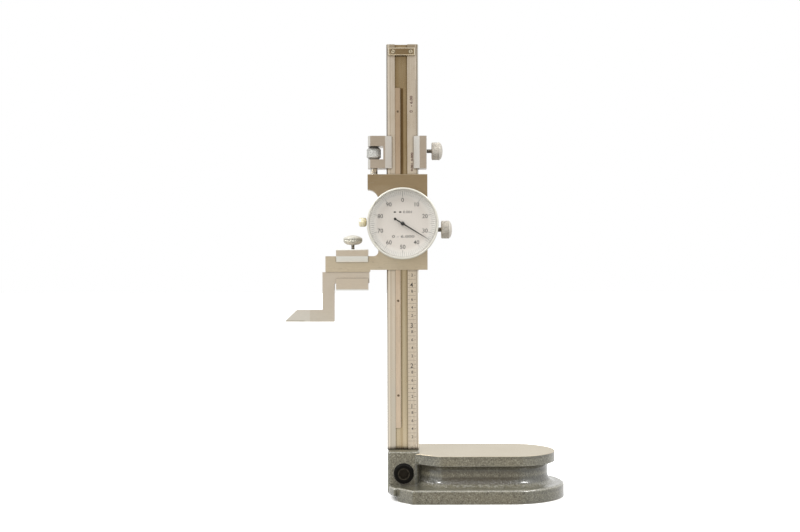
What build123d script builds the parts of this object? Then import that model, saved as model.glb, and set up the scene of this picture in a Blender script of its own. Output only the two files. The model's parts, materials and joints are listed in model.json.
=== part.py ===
from build123d import *
import math
import os

os.makedirs("parts", exist_ok=True)

# Dial height gauge, 0 to 6 in, dial 0.001 in per division and 0.1 in per turn.
# Millimetres.  X to the right, Y away from the reader, Z up.  The origin is on
# the base's datum plane, under the middle of the column's graduated face.

IN = 25.4

# ------------------------------------------------------------ driving dimensions
# column
BEAM_HW = 10.0            # half width
BEAM_T = 8.0              # thickness
BEAM_TOP = 284.2
TENON_HW = 8.0
TENON_Z = 4.0
GROOVE_X0, GROOVE_X1, GROOVE_D = -4.7, 3.1, 2.4
# base
BOSS_TOP = 29.4
FLANGE_T = 8.5
PLATE_Z0, PLATE_Z1 = 21.9, 28.0
BASE_YC = 8.4
PLATE_R = 28.6
FLANGE_R = 36.4
BASE_XC = 65.25           # centre of the flange's round end
PLATE_XC = 67.4           # centre of the plate's and neck's round end
NECK_IN = 4.7
# slide
SL_X0, SL_X1 = -15.2, 15.5
SL_Z0, SL_Z1 = 142.4, 202.1
SL_F = -6.0               # front face
GAP = 0.05                # sliding clearance on the column
JAW_X = -48.2
JAW_Z0, JAW_Z1 = 141.15, 151.0
# dial
DIAL_Z = 170.9
CASE_R = 19.0
BEZEL_R = 22.1
# gear train
RACK_P = 0.635            # rack pitch: 16 teeth are 10.16 mm, 0.4 in
M_RACK = RACK_P / math.pi
M_TRAIN = 0.16
N_RP, N_WHEEL, N_CENTRE = 16, 80, 20
RACK_TIP = -1.1
RACK_PITCH_X = RACK_TIP - 0.85 * M_RACK
RP_R = M_RACK * N_RP / 2
RP_X = RACK_PITCH_X + RP_R
CD = M_TRAIN * (N_WHEEL + N_CENTRE) / 2
RP_Z = DIAL_Z - math.sqrt(CD * CD - RP_X * RP_X)
TU_Z = DIAL_Z + CD
READ_FRACTION = 0.3372    # pointer's place on the dial, turns clockwise from 0
# carriage
CA_X0, CA_X1 = -21.6, 15.2
CA_Z0, CA_Z1 = 206.0, 226.2
CA_F = -4.5
STUD_X, STUD_Y, STUD_R = -18.0, 1.8, 2.5
# scriber clamp and scriber
CL_X0, CL_X1 = -41.4, -21.6
CL_Z0, CL_Z1 = 129.7, 155.2
CL_F, CL_B = -9.5, 7.5
SC_TOP, SC_BAR_Z0 = 141.1, 134.2
SC_Y0, SC_Y1 = -5.5, 3.5
TIP_Z = 110.1


# ------------------------------------------------------------ helpers
def bx(x0, x1, y0, y1, z0, z1):
    return Pos((x0 + x1) / 2, (y0 + y1) / 2, (z0 + z1) / 2) * Box(x1 - x0, y1 - y0, z1 - z0)


def poly(pts):
    return make_face(Polyline(*[Vector(*p) for p in pts], close=True))


def prism_xz(pts, y0, y1):
    return extrude(poly([(x, y0, z) for x, z in pts]), amount=y1 - y0, dir=(0, 1, 0))


def prism_yz(pts, x0, x1):
    return extrude(poly([(x0, y, z) for y, z in pts]), amount=x1 - x0, dir=(1, 0, 0))


def prism_xy(pts, z0, z1):
    return extrude(poly([(x, y, z0) for x, y in pts]), amount=z1 - z0, dir=(0, 0, 1))


def cylx(x0, x1, y, z, r):
    return Pos((x0 + x1) / 2, y, z) * (Rot(0, 90, 0) * Cylinder(r, x1 - x0))


def cyly(y0, y1, x, z, r):
    return Pos(x, (y0 + y1) / 2, z) * (Rot(90, 0, 0) * Cylinder(r, y1 - y0))


def cylz(z0, z1, x, y, r):
    return Pos(x, y, (z0 + z1) / 2) * Cylinder(r, z1 - z0)


def rev_y(prof, x, z):
    """Turned piece about an axis along Y through (x, z); prof is (r, y)."""
    f = poly([(x + r, y, z) for r, y in prof])
    return revolve(f, axis=Axis((x, 0, z), (0, 1, 0)), revolution_arc=360)


def rev_x(prof, y, z):
    """Turned piece about an axis along X through (y, z); prof is (r, x)."""
    f = poly([(x, y, z + r) for r, x in prof])
    return revolve(f, axis=Axis((0, y, z), (1, 0, 0)), revolution_arc=360)


def rev_z(prof, x, y):
    """Turned piece about an axis along Z through (x, y); prof is (r, z)."""
    f = poly([(x + r, y, z) for r, z in prof])
    return revolve(f, axis=Axis((x, y, 0), (0, 0, 1)), revolution_arc=360)


def hex_y(af, y0, y1, x, z, turn=0.0):
    r = af / math.sqrt(3)
    return prism_xz([(x + r * math.cos(math.radians(turn + 60 * k)),
                      z + r * math.sin(math.radians(turn + 60 * k))) for k in range(6)], y0, y1)


def slot_screw_y(x, z, y_head, y_tip, r_head, h_head, r_shank, slot_w, slot_d, turn=0.0, sgn=-1):
    """Slotted cheese-head screw along Y; the head's top is at y_head."""
    if sgn < 0:      # head towards -Y
        s = cyly(y_head, y_head + h_head, x, z, r_head) + cyly(y_head + h_head, y_tip, x, z, r_shank)
        cut = Pos(x, y_head + slot_d / 2, z) * (Rot(0, turn, 0) * Box(2.4 * r_head, slot_d + 0.02, slot_w))
    else:            # head towards +Y
        s = cyly(y_head - h_head, y_head, x, z, r_head) + cyly(y_tip, y_head - h_head, x, z, r_shank)
        cut = Pos(x, y_head - slot_d / 2, z) * (Rot(0, turn, 0) * Box(2.4 * r_head, slot_d + 0.02, slot_w))
    return s - cut


def inv(a):
    return math.tan(a) - a


def gear_pts(n, m, cx, cz, phase, add=0.85, ded=1.15, thick=0.45, steps=3):
    """Involute outline in XZ, 20 degree pressure angle; phase is the angle, in
    degrees from +X towards +Z, of one tooth's centre line."""
    rp = m * n / 2
    rb = rp * math.cos(math.radians(20))
    ra, rf = rp + add * m, rp - ded * m
    half = thick * math.pi / n
    pts = []

    def psi(r):
        if r <= rb:
            return half + inv(math.radians(20))
        return half + inv(math.radians(20)) - inv(math.acos(rb / r))
    r_lo = max(rf, rb)
    for k in range(n):
        c = math.radians(phase) + 2 * math.pi * k / n
        left = []
        left.append((rf, psi(r_lo)))
        if r_lo > rf + 1e-6:
            left.append((r_lo, psi(r_lo)))
        for i in range(1, steps + 1):
            r = r_lo + (ra - r_lo) * i / steps
            left.append((r, psi(r)))
        row = [(r, c - a) for r, a in left] + [(r, c + a) for r, a in reversed(left)]
        pts += [(cx + r * math.cos(a), cz + r * math.sin(a)) for r, a in row]
    return pts


nodes = {}


def add(name, obj):
    nodes[name] = obj


def group(*solids):
    out = []
    for s in solids:
        out += list(s.solids())
    return Compound(out)


# ------------------------------------------------------------ base casting
def ring_outline(left, r, xc, yc, fil, z, back=None):
    """Closed plan outline: straight sides, half-round right end, and the left
    end given as corner points on the front side; the back side mirrors it
    unless its own points are given, from the right to the left."""
    front = [(x, y) for x, y in left]
    if back is None:
        back = [(x, 2 * yc - y) for x, y in reversed(front)]
    a = Polyline(*([Vector(xc, 2 * yc - (yc - r), z)] + [Vector(x, y, z) for x, y in back]
                   + [Vector(x, y, z) for x, y in front] + [Vector(xc, yc - r, z)]))
    b = ThreePointArc(Vector(xc, yc - r, z), Vector(xc + r, yc, z), Vector(xc, yc + r, z))
    f = make_face(Wire(list(a.edges()) + list(b.edges())))
    for (cx, cy), rad in fil:
        vs = [v for v in f.vertices() if abs(v.X - cx) < 1e-4 and
              (abs(v.Y - cy) < 1e-4 or abs(v.Y - (2 * yc - cy)) < 1e-4)]
        f = fillet(vs, rad)
    return f


PLATE_B = BASE_YC + PLATE_R
plate_left = [(-3.0, 0.48), (21.0, BASE_YC - PLATE_R)]
plate_back = [(8.0, PLATE_B), (-3.0, PLATE_B - 11.0)]
plate_f = ring_outline(plate_left, PLATE_R, PLATE_XC, BASE_YC,
                       [((21.0, BASE_YC - PLATE_R), 13.0), ((8.0, PLATE_B), 9.0)], PLATE_Z0, plate_back)
neck_left = [(2.0, 2.38), (22.75, BASE_YC - PLATE_R + NECK_IN)]
neck_back = [(9.9, PLATE_B - NECK_IN), (2.0, PLATE_B - NECK_IN - 7.9)]
neck_f = ring_outline(neck_left, PLATE_R - NECK_IN, PLATE_XC, BASE_YC,
                      [((22.75, BASE_YC - PLATE_R + NECK_IN), 9.0), ((9.9, PLATE_B - NECK_IN), 7.0)],
                      FLANGE_T - 1.0, neck_back)
FLF = BASE_YC - FLANGE_R
flange_left = [(-9.7, -3.0), (-8.4, -13.0), (-5.6, -19.4), (-3.6, -17.4), (5.4, FLF)]
flange_f = ring_outline(flange_left, FLANGE_R, BASE_XC, BASE_YC,
                        [((-9.7, -3.0), 2.0), ((-8.4, -13.0), 3.0), ((-5.6, -19.4), 0.9), ((5.4, FLF), 1.2)], 0.0)

plate = extrude(plate_f, amount=PLATE_Z1 - PLATE_Z0, dir=(0, 0, 1))
plate = chamfer(plate.edges().filter_by_position(Axis.Z, PLATE_Z1 - 0.01, PLATE_Z1 + 0.01), 0.25)
neck = extrude(neck_f, amount=PLATE_Z0 - FLANGE_T + 2.0, dir=(0, 0, 1))
flange = extrude(flange_f, amount=FLANGE_T, dir=(0, 0, 1))
flange = fillet(flange.edges().filter_by_position(Axis.Z, FLANGE_T - 0.01, FLANGE_T + 0.01), 1.6)
flange = fillet(flange.edges().filter_by_position(Axis.Z, -0.01, 0.01), 0.5)

base = plate + neck + flange


def outline_edges(obj, z, face, tol=0.02):
    """Edges of obj at height z that lie on the plan outline of face."""
    w = face.faces()[0].outer_wire()
    zf = face.center().Z
    out = []
    for e in obj.edges():
        bb = e.bounding_box()
        if abs(bb.min.Z - z) > 1e-3 or abs(bb.max.Z - z) > 1e-3:
            continue
        ok = True
        for t in (0.1, 0.5, 0.9):
            p = e @ t
            if w.distance(Vertex(p.X, p.Y, zf)) > tol:
                ok = False
        if ok:
            out.append(e)
    return out


for zz, rad in ((PLATE_Z0, 4.2), (FLANGE_T, 6.0)):
    sel = outline_edges(base, zz, neck_f)
    for rr in (rad, rad * 0.9, rad * 0.75, rad * 0.6, rad * 0.45):
        try:
            base = fillet(sel, rr)
            print("neck fillet at", zz, "edges", len(sel), "radius", rr)
            break
        except Exception as ex:
            print("neck fillet", rr, "at", zz, "refused")

# boss that holds the column
BX0, BX1, BY0, BY1 = -9.7, 10.3, -9.0, 25.8
boss = bx(BX0, BX1, BY0, BY1, 0.0, BOSS_TOP)
front_right = boss.edges().filter_by(Axis.Z).filter_by_position(Axis.X, BX1 - 0.01, BX1 + 0.01).sort_by(Axis.Y)[0]
boss = fillet(front_right, 4.0)
boss = fillet([e for e in boss.edges().filter_by(Axis.Z)
               if abs(e.center().X - BX0) < 0.01 or (abs(e.center().X - BX1) < 0.01 and abs(e.center().Y - BY1) < 0.01)], 2.2)
boss = fillet(boss.edges().filter_by_position(Axis.Z, BOSS_TOP - 0.01, BOSS_TOP + 0.01), 1.3)
base = base + boss

# the tongue left of the datum stands clear of the surface plate
base -= bx(-12.0, -3.4, -40.0, 60.0, -1.0, 2.8)
tongue = [e for e in base.edges() if abs(e.center().Z - 2.8) < 1e-3 and e.bounding_box().max.X < -3.41
          and e.bounding_box().max.Z - e.bounding_box().min.Z < 1e-3]
for rr in (2.0, 1.4, 1.0):
    try:
        base = fillet(tongue, rr)
        print("tongue fillet", rr, "edges", len(tongue))
        break
    except Exception:
        print("tongue fillet", rr, "refused")
# counterbore and clearance hole for the column's bolt
BOLT_X, BOLT_Z = 0.35, 15.9
base -= cyly(-40.0, -4.0, BOLT_X, BOLT_Z, 6.4)
base -= cyly(-9.0, 0.5, BOLT_X, BOLT_Z, 4.3)
# pocket for the column's tenon
base -= bx(-TENON_HW - 0.05, TENON_HW + 0.05, -0.05, BEAM_T + 0.05, TENON_Z, BOSS_TOP + 1)
# shallow relief under the middle of the base, so that the datum is a rim
relief = bx(26.0, BASE_XC + 18.0, BASE_YC - 21.0, BASE_YC + 21.0, -1.0, 1.5)
relief = fillet(relief.edges().filter_by(Axis.Z), 9.0)
base -= relief
add("base_casting", base)

# M8 socket cap screw through the boss into the column's foot
bolt = cyly(-12.0, -4.0, BOLT_X, BOLT_Z, 6.05)
bolt = chamfer(bolt.edges().sort_by(Axis.Y)[0], 0.6)
bolt = bolt - hex_y(6.0, -13.0, -7.8, BOLT_X, BOLT_Z, 12.0) + cyly(-4.0, 6.6, BOLT_X, BOLT_Z, 3.96)
add("column_bolt", bolt)

# ------------------------------------------------------------ column
beam = bx(-BEAM_HW, BEAM_HW, 0, BEAM_T, BOSS_TOP, BEAM_TOP)
beam = chamfer(beam.edges().filter_by(Axis.Z), 0.75)
beam = chamfer(beam.edges().filter_by_position(Axis.Z, BEAM_TOP - 0.01, BEAM_TOP + 0.01), 0.25)
beam += bx(-TENON_HW, TENON_HW, 0, BEAM_T, TENON_Z, BOSS_TOP + 0.5)
beam -= bx(GROOVE_X0, GROOVE_X1, -1, GROOVE_D, TENON_Z + 0.0, BEAM_TOP + 1)
beam -= cyly(-1, 7.0, BOLT_X, BOLT_Z, 4.0)
STOP_Z0, STOP_Z1 = 277.1, 281.7
STOP_SCREW_X = (-5.75, 5.3)
for sx in STOP_SCREW_X:
    beam -= cyly(-1, 4.4, sx, (STOP_Z0 + STOP_Z1) / 2, 0.82)
RACK_SCREW_Z = [63.4, 122.9, 182.4, 241.9]
for z in RACK_SCREW_Z:
    beam -= cyly(2.0, 5.2, -2.9, z, 0.42)
add("beam", beam)

# rack: tooth gaps are set from the pinion's place, so that it is in mesh
RACK_Z0, RACK_Z1 = 43.0, 256.8
h = RACK_P
pts = [(-4.65, RACK_Z0)]
root_x = RACK_PITCH_X - 1.15 * M_RACK
tip_x = RACK_TIP
t20 = math.tan(math.radians(20))
wt = 0.45 * RACK_P / 2
w_tip = wt - (tip_x - RACK_PITCH_X) * t20
w_root = wt + (RACK_PITCH_X - root_x) * t20
pts.append((root_x, RACK_Z0))
k0 = math.ceil((RACK_Z0 + w_root + 0.02 - RP_Z) / h - 0.5)
k = k0
while True:
    zc = RP_Z + (k + 0.5) * h
    if zc + w_root > RACK_Z1 - 0.02:
        break
    pts += [(root_x, zc - w_root), (tip_x, zc - w_tip), (tip_x, zc + w_tip), (root_x, zc + w_root)]
    k += 1
pts += [(root_x, RACK_Z1), (-4.65, RACK_Z1)]
rack = prism_xz(pts, 0.35, GROOVE_D)
for z in RACK_SCREW_Z:
    rack -= cyly(0.2, 1.22, -2.9, z, 0.78)
    rack -= cyly(1.0, 3.0, -2.9, z, 0.42)
add("rack", rack)
add("rack_screws", group(*[slot_screw_y(-2.9, z, 0.36, 5.1, 0.75, 0.85, 0.4, 0.3, 0.35, 20 + 35 * i)
                           for i, z in enumerate(RACK_SCREW_Z)]))

# top stop plate and its screws
stop = bx(-8.6, 8.0, -1.6, 0.0, STOP_Z0, STOP_Z1)
stop = chamfer(stop.edges().filter_by_position(Axis.Y, -1.61, -1.59), 0.35)
for sx in STOP_SCREW_X:
    stop -= cyly(-2, 1, sx, (STOP_Z0 + STOP_Z1) / 2, 0.82)
    stop -= cyly(-2, -0.6, sx, (STOP_Z0 + STOP_Z1) / 2, 1.6)
add("top_stop_plate", stop)
add("top_stop_screws", group(*[slot_screw_y(sx, (STOP_Z0 + STOP_Z1) / 2, -1.4, 4.2, 1.3, 0.75, 0.8, 0.45, 0.4, tt)
                               for sx, tt in zip(STOP_SCREW_X, (25, 70))]))

# ------------------------------------------------------------ slide
WALL_IN = BEAM_HW + GAP
GIB_X0, GIB_X1 = 10.1, 10.55
R_IN = 10.6
BK0, BK1 = 8.06, 10.6
slide = bx(SL_X0, SL_X1, SL_F, -GAP, SL_Z0, SL_Z1)
slide += bx(SL_X0, -WALL_IN, -GAP, BK0, SL_Z0, SL_Z1)
slide += bx(R_IN, SL_X1, -GAP, BK0, SL_Z0, SL_Z1)
# ear for the fine-adjustment stud, with a hollow underside
EAR_X, EAR_Z = -21.8, 192.6
ear_pts = [(SL_X0, SL_Z1), (EAR_X, SL_Z1), (EAR_X, EAR_Z)]
for i in range(0, 9):
    a = math.radians(90 - i * 90 / 8)
    ear_pts.append((EAR_X + 6.6 * math.cos(a), 186.2 + 6.4 * math.sin(a)))
ear_pts.append((SL_X0 + 0.5, 186.2))
ear_pts.append((SL_X0 + 0.5, SL_Z1))
ear_pts = [ear_pts[1], ear_pts[2]] + ear_pts[4:]
slide += prism_xz(ear_pts, SL_F, 7.0)
slide = chamfer(slide.edges().filter_by(Axis.X).filter_by_position(Axis.Z, SL_Z1 - 0.01, SL_Z1 + 0.01)
                .filter_by_position(Axis.Y, SL_F - 0.01, SL_F + 0.01), 0.4)
# jaw that the scriber is clamped to
jaw = bx(JAW_X, -20.4, SL_F, 4.0, JAW_Z0, JAW_Z1) + bx(-20.5, SL_X0 + 1, SL_F, 4.0, SL_Z0, JAW_Z1)
fil = [(SL_X0 + 0.5, JAW_Z1 - 0.5), (-18.2, JAW_Z1 - 0.5), (-18.2, JAW_Z1)]
for i in range(1, 7):
    a = math.radians(270 + i * 90 / 6)
    fil.append((-18.2 + 3.0 * math.cos(a), JAW_Z1 + 3.0 + 3.0 * math.sin(a)))
fil.append((SL_X0 + 0.5, JAW_Z1 + 3.0))
jaw += prism_xz(fil, SL_F, 4.0)
slide += jaw
# opening for the rack pinion, stud hole, lock screw hole, gib screw holes
slide -= cyly(-7, 0.5, RP_X, RP_Z, 2.25)
slide -= cylz(195.5, SL_Z1 + 1, STUD_X, STUD_Y, STUD_R + 0.01)
LOCK_Y, LOCK_Z = 4.0, 167.7
slide -= cylx(R_IN - 0.5, SL_X1 + 1, LOCK_Y, LOCK_Z, 1.53)
GIB_SCREW_Z = [149.5, 195.0]
for z in GIB_SCREW_Z:
    slide -= cylx(R_IN - 0.5, SL_X1 + 1, LOCK_Y, z, 1.26)
CASE_SCREW = [(14.2 * math.cos(math.radians(a)), DIAL_Z + 14.2 * math.sin(math.radians(a))) for a in (40, 140, 220, 320)]
for x, z in CASE_SCREW:
    slide -= cyly(-7, -1.5, x, z, 1.01)
BACK_SCREW = [(-12.7, 148.0), (-12.7, 196.5), (13.0, 148.0), (13.0, 196.5)]
for x, z in BACK_SCREW:
    slide -= cyly(3.2 if x < 0 else 5.7, 9, x, z, 1.02)
add("slide_body", slide)

back = bx(SL_X0, SL_X1, BK0, BK1, SL_Z0, SL_Z1)
back = chamfer(back.edges().filter_by_position(Axis.Y, BK1 - 0.01, BK1 + 0.01), 0.5)
for x, z in BACK_SCREW:
    back -= cyly(8, 11, x, z, 1.02)
    back -= cyly(9.2, 11, x, z, 1.95)
add("slide_back_plate", back)
add("back_plate_screws", group(*[slot_screw_y(x, z, 10.45, 3.4 if x < 0 else 5.9, 1.9, 1.25, 1.0, 0.5, 0.55, tt, +1)
                                 for (x, z), tt in zip(BACK_SCREW, (10, 65, 120, 35))]))
add("slide_gib", bx(GIB_X0, GIB_X1, 0.1, 7.95, SL_Z0 + 0.6, SL_Z1 - 0.6))
gs = []
for i, z in enumerate(GIB_SCREW_Z):
    s = cylx(10.56, 15.1, LOCK_Y, z, 1.24)
    s -= Pos(15.0, LOCK_Y, z) * (Rot(30 + 60 * i, 0, 0) * Box(1.0, 3.0, 0.4))
    gs.append(s)
add("gib_adjusting_screws", group(*gs))
stud = cylz(195.8, 224.5, STUD_X, STUD_Y, STUD_R)
stud = chamfer(stud.edges().sort_by(Axis.Z)[-1], 0.5)
add("fine_adjusting_stud", stud)

# slide lock screw
lock = rev_x([(0, 10.62), (1.1, 10.62), (1.5, 11.1), (1.5, 24.6), (2.4, 24.3), (5.2, 24.3), (5.8, 24.9),
              (5.8, 29.2), (5.3, 30.0), (4.4, 30.6), (3.0, 31.0), (1.5, 31.18), (0, 31.2)], LOCK_Y, LOCK_Z)
add("slide_lock_screw", lock)

# ------------------------------------------------------------ dial case and movement
case = rev_y([(0, -6.0), (CASE_R - 0.6, -6.0), (CASE_R, -6.6), (CASE_R, -12.0), (18.4, -12.0), (18.4, -13.0),
              (CASE_R, -13.0), (CASE_R, -14.0), (CASE_R - 0.3, -14.3), (17.4, -14.3), (17.4, -7.0), (0, -7.0)], 0, DIAL_Z)
# lug for the bezel lock screw
BL_Z, BL_Y = 171.9, -12.6
lug = bx(-22.0, -17.8, -10.9, -6.3, 169.4, 174.4) + bx(-22.0, -20.4, -14.2, -10.9, 169.9, 173.9)
lug -= cyly(-20, 0, 0, DIAL_Z, 18.2)
case += lug
case -= cyly(-8, -5, RP_X, RP_Z, 2.25)
case -= cylx(-23, -19.8, BL_Y, BL_Z, 1.03)
for x, z in CASE_SCREW:
    case -= cyly(-8, -5, x, z, 1.05)
add("dial_case", case)
add("case_screws", group(*[slot_screw_y(x, z, -7.75, -1.7, 1.8, 0.75, 1.0, 0.4, 0.35, tt)
                           for (x, z), tt in zip(CASE_SCREW, (15, 80, 40, 100))]))

PIV = 0.30
PH = 0.33
plate_m = cyly(-8.2, -7.0, 0, DIAL_Z, 11.4)
plate_m -= cyly(-9, -6, RP_X, RP_Z, 0.53)
plate_m -= cyly(-9, -6, 0, DIAL_Z, PH)
plate_m -= cyly(-9, -6, 0, TU_Z, PH)
PILLAR = [(9.4 * math.cos(math.radians(a)), DIAL_Z + 9.4 * math.sin(math.radians(a))) for a in (0, 180)]
PILLAR.append((4.9, DIAL_Z + 9.0))
PILLAR = [(10.2, DIAL_Z), (-10.2, DIAL_Z)]
add("movement_plate", plate_m)
add("movement_pillars", group(*[cyly(-12.2, -8.2, x, z, 0.9) for x, z in PILLAR]))
# the bridge is a cross-shaped cock over the three arbors
br_pts = [(-11.4, DIAL_Z - 1.6), (-2.2, DIAL_Z - 2.6), (-1.7, RP_Z - 1.8), (2.2, RP_Z - 1.8), (2.4, DIAL_Z - 2.6),
          (11.4, DIAL_Z - 1.6), (11.4, DIAL_Z + 1.6), (2.2, DIAL_Z + 2.6), (1.9, TU_Z + 1.8), (-1.9, TU_Z + 1.8),
          (-2.2, DIAL_Z + 2.6), (-11.4, DIAL_Z + 1.6)]
bridge = prism_xz(br_pts, -13.2, -12.2)
bridge -= cyly(-14, -12, RP_X, RP_Z, PH)
bridge -= cyly(-14, -12, 0, DIAL_Z, 0.48)
bridge -= cyly(-14, -12, 0, TU_Z, PH)
for x, z in PILLAR:
    bridge -= cyly(-14, -12, x, z, 0.52)
add("movement_bridge", bridge)
add("bridge_screws", group(*[slot_screw_y(x, z, -13.75, -12.25, 0.95, 0.55, 0.5, 0.25, 0.25, tt)
                             for (x, z), tt in zip(PILLAR, (20, 110))]))

# rack pinion, its arbor and the wheel on it
rp = prism_xz(gear_pts(N_RP, M_RACK, RP_X, RP_Z, 180.0), 0.5, 2.2)
rp += cyly(-12.0, 0.55, RP_X, RP_Z, 0.5) + cyly(-12.9, -11.95, RP_X, RP_Z, PIV)
add("rack_pinion", rp)
ang = math.degrees(math.atan2(DIAL_Z - RP_Z, -RP_X))          # from this arbor to the centre arbor
wheel = prism_xz(gear_pts(N_WHEEL, M_TRAIN, RP_X, RP_Z, ang, steps=2), -10.4, -9.8)
for k in range(5):
    a = math.radians(ang + 36 + 72 * k)
    wheel -= cyly(-11, -9, RP_X + 3.6 * math.cos(a), RP_Z + 3.6 * math.sin(a), 1.3)
wheel += cyly(-10.8, -9.5, RP_X, RP_Z, 1.2)
wheel -= cyly(-11, -9, RP_X, RP_Z, 0.5)
add("drive_wheel", wheel)

# centre arbor with its pinion, a tooth gap facing the drive wheel
back_ang = ang + 180.0
cp = prism_xz(gear_pts(N_CENTRE, M_TRAIN, 0, DIAL_Z, back_ang + 9.0), -10.7, -9.5)
cp += cyly(-8.25, -7.15, 0, DIAL_Z, PIV) + cyly(-9.55, -8.2, 0, DIAL_Z, 0.45) + cyly(-17.3, -10.65, 0, DIAL_Z, 0.45)
add("centre_pinion", cp)

# take-up wheel, driven by the centre pinion, with its hairspring
frac = ((90.0 - back_ang) / 18.0) % 1.0                        # pitches past a gap at +Z
d = frac if frac < 0.5 else frac - 1.0
tu_phase = -90.0 + d * 360.0 / N_WHEEL
tu = prism_xz(gear_pts(N_WHEEL, M_TRAIN, 0, TU_Z, tu_phase, steps=2), -10.4, -9.8)
for k in range(5):
    a = math.radians(90 + 36 + 72 * k)
    tu -= cyly(-11, -9, 3.6 * math.cos(a), TU_Z + 3.6 * math.sin(a), 1.3)
tu += cyly(-10.8, -9.5, 0, TU_Z, 1.2)
tu -= cyly(-11, -9, 0, TU_Z, 0.45)
add("take_up_wheel", tu)
add("take_up_arbor", cyly(-12.1, -8.3, 0, TU_Z, 0.45) + cyly(-12.9, -12.05, 0, TU_Z, PIV) + cyly(-8.35, -7.2, 0, TU_Z, PIV))
sp_o, sp_i = [], []
turns, n_pt = 4.0, 120
for i in range(n_pt + 1):
    a = 2 * math.pi * turns * i / n_pt
    r = 1.0 + 3.4 * i / n_pt
    sp_i.append((r * math.cos(a), TU_Z + r * math.sin(a)))
    sp_o.append(((r + 0.16) * math.cos(a), TU_Z + (r + 0.16) * math.sin(a)))
add("hairspring", prism_xz(sp_i + list(reversed(sp_o)), -11.8, -11.35))

# ------------------------------------------------------------ bezel, dial plate, crystal
bez = rev_y([(19.1, -11.0), (20.2, -11.0), (20.2, -14.5), (21.7, -14.5), (22.1, -14.9), (22.1, -19.2), (21.95, -19.7),
             (21.6, -20.0), (21.15, -20.0), (20.95, -19.8), (20.95, -18.5), (20.45, -18.5), (20.25, -15.7), (20.25, -15.1),
             (18.2, -15.1), (18.2, -14.6), (19.1, -14.6), (19.1, -12.95), (19.6, -12.95), (19.6, -12.05), (19.1, -12.05)], 0, DIAL_Z)
add("bezel", bez)
add("bezel_snap_ring", rev_y([(18.6, -12.8), (19.55, -12.8), (19.55, -12.2), (18.6, -12.2)], 0, DIAL_Z))
dial = cyly(-15.7, -15.1, 0, DIAL_Z, 20.2) - cyly(-16, -15, 0, DIAL_Z, 1.0)
add("dial_plate", dial)
crystal = cyly(-19.5, -18.5, 0, DIAL_Z, 20.9)
add("crystal", crystal)

# pointer
pa = math.radians(90.0 - 360.0 * READ_FRACTION)
ux, uz = math.cos(pa), math.sin(pa)
vx, vz = -uz, ux


def pt(l, w):
    return (l * ux + w * vx, DIAL_Z + l * uz + w * vz)


hand = prism_xz([pt(-5.0, -0.34), pt(0, -0.42), pt(8.0, -0.36), pt(19.1, -0.09), pt(19.1, 0.09), pt(8.0, 0.36),
                 pt(0, 0.42), pt(-5.0, 0.34)], -17.0, -16.75)
cx, cz = pt(-5.4, 0)
hand += cyly(-17.0, -16.75, cx, cz, 0.85)
hand += cyly(-17.25, -16.5, 0, DIAL_Z, 1.25)
hand -= cyly(-18, -16, 0, DIAL_Z, 0.45)
add("pointer", hand)
add("pointer_cap", rev_y([(0, -17.3), (1.15, -17.3), (1.15, -17.45), (0.8, -17.65), (0, -17.75)], 0, DIAL_Z))

# bezel lock screw
bl = rev_x([(0, -20.32), (0.7, -20.32), (1.0, -20.6), (1.0, -22.2), (1.5, -22.3), (2.5, -22.3), (2.8, -22.6), (2.8, -26.6),
            (2.5, -26.95), (1.6, -27.1), (0, -27.1)], BL_Y, BL_Z)
add("bezel_lock_screw", bl)

# ------------------------------------------------------------ fine-adjustment carriage
CB0, CB1 = 8.05, 10.5
ca = prism_xy([(-10.05, -GAP), (-6.75, -GAP), (-6.75, -1.5), (-10.8, CA_F), (CA_X0 + 1.5, CA_F), (CA_X0, CA_F + 1.5),
               (CA_X0, CB0 - 0.8), (CA_X0 + 0.8, CB0), (-16.0, CB0), (-16.0, CB1 - 0.6), (-15.4, CB1),
               (CA_X1 - 0.6, CB1), (CA_X1, CB1 - 0.6), (CA_X1, CA_F + 0.4), (CA_X1 - 0.4, CA_F), (10.75, CA_F),
               (7.1, -1.5), (7.1, -GAP), (R_IN, -GAP), (R_IN, CB0), (-10.05, CB0)], CA_Z0, CA_Z1)
NOTCH_Z0, NOTCH_Z1 = 211.5, 219.8
ca -= bx(CA_X0 - 1, -12.0, CA_F - 1, CB1 + 1, NOTCH_Z0, NOTCH_Z1)
ca -= cylz(CA_Z0 - 1, CA_Z1 + 1, STUD_X, STUD_Y, STUD_R + 0.1)
CLK_Z = 217.2
ca -= cylx(R_IN - 0.5, CA_X1 + 1, LOCK_Y, CLK_Z, 1.33)
add("carriage_body", ca)
add("carriage_gib", bx(GIB_X0, GIB_X1, 0.1, 7.95, CA_Z0 + 0.5, CA_Z1 - 0.5))
clk = rev_x([(0, 10.62), (0.9, 10.62), (1.3, 11.0), (1.3, 18.6), (2.2, 18.4), (5.15, 18.4), (5.75, 19.0), (5.75, 23.4),
             (5.3, 24.2), (4.4, 24.8), (3.0, 25.2), (1.5, 25.38), (0, 25.4)], LOCK_Y, CLK_Z)
add("carriage_lock_screw", clk)
nut = rev_z([(STUD_R + 0.03, 211.8), (3.1, 211.8), (4.6, 213.4), (4.6, 217.9), (3.1, 219.5), (STUD_R + 0.03, 219.5)],
            STUD_X, STUD_Y)
add("fine_adjusting_nut", nut)

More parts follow.
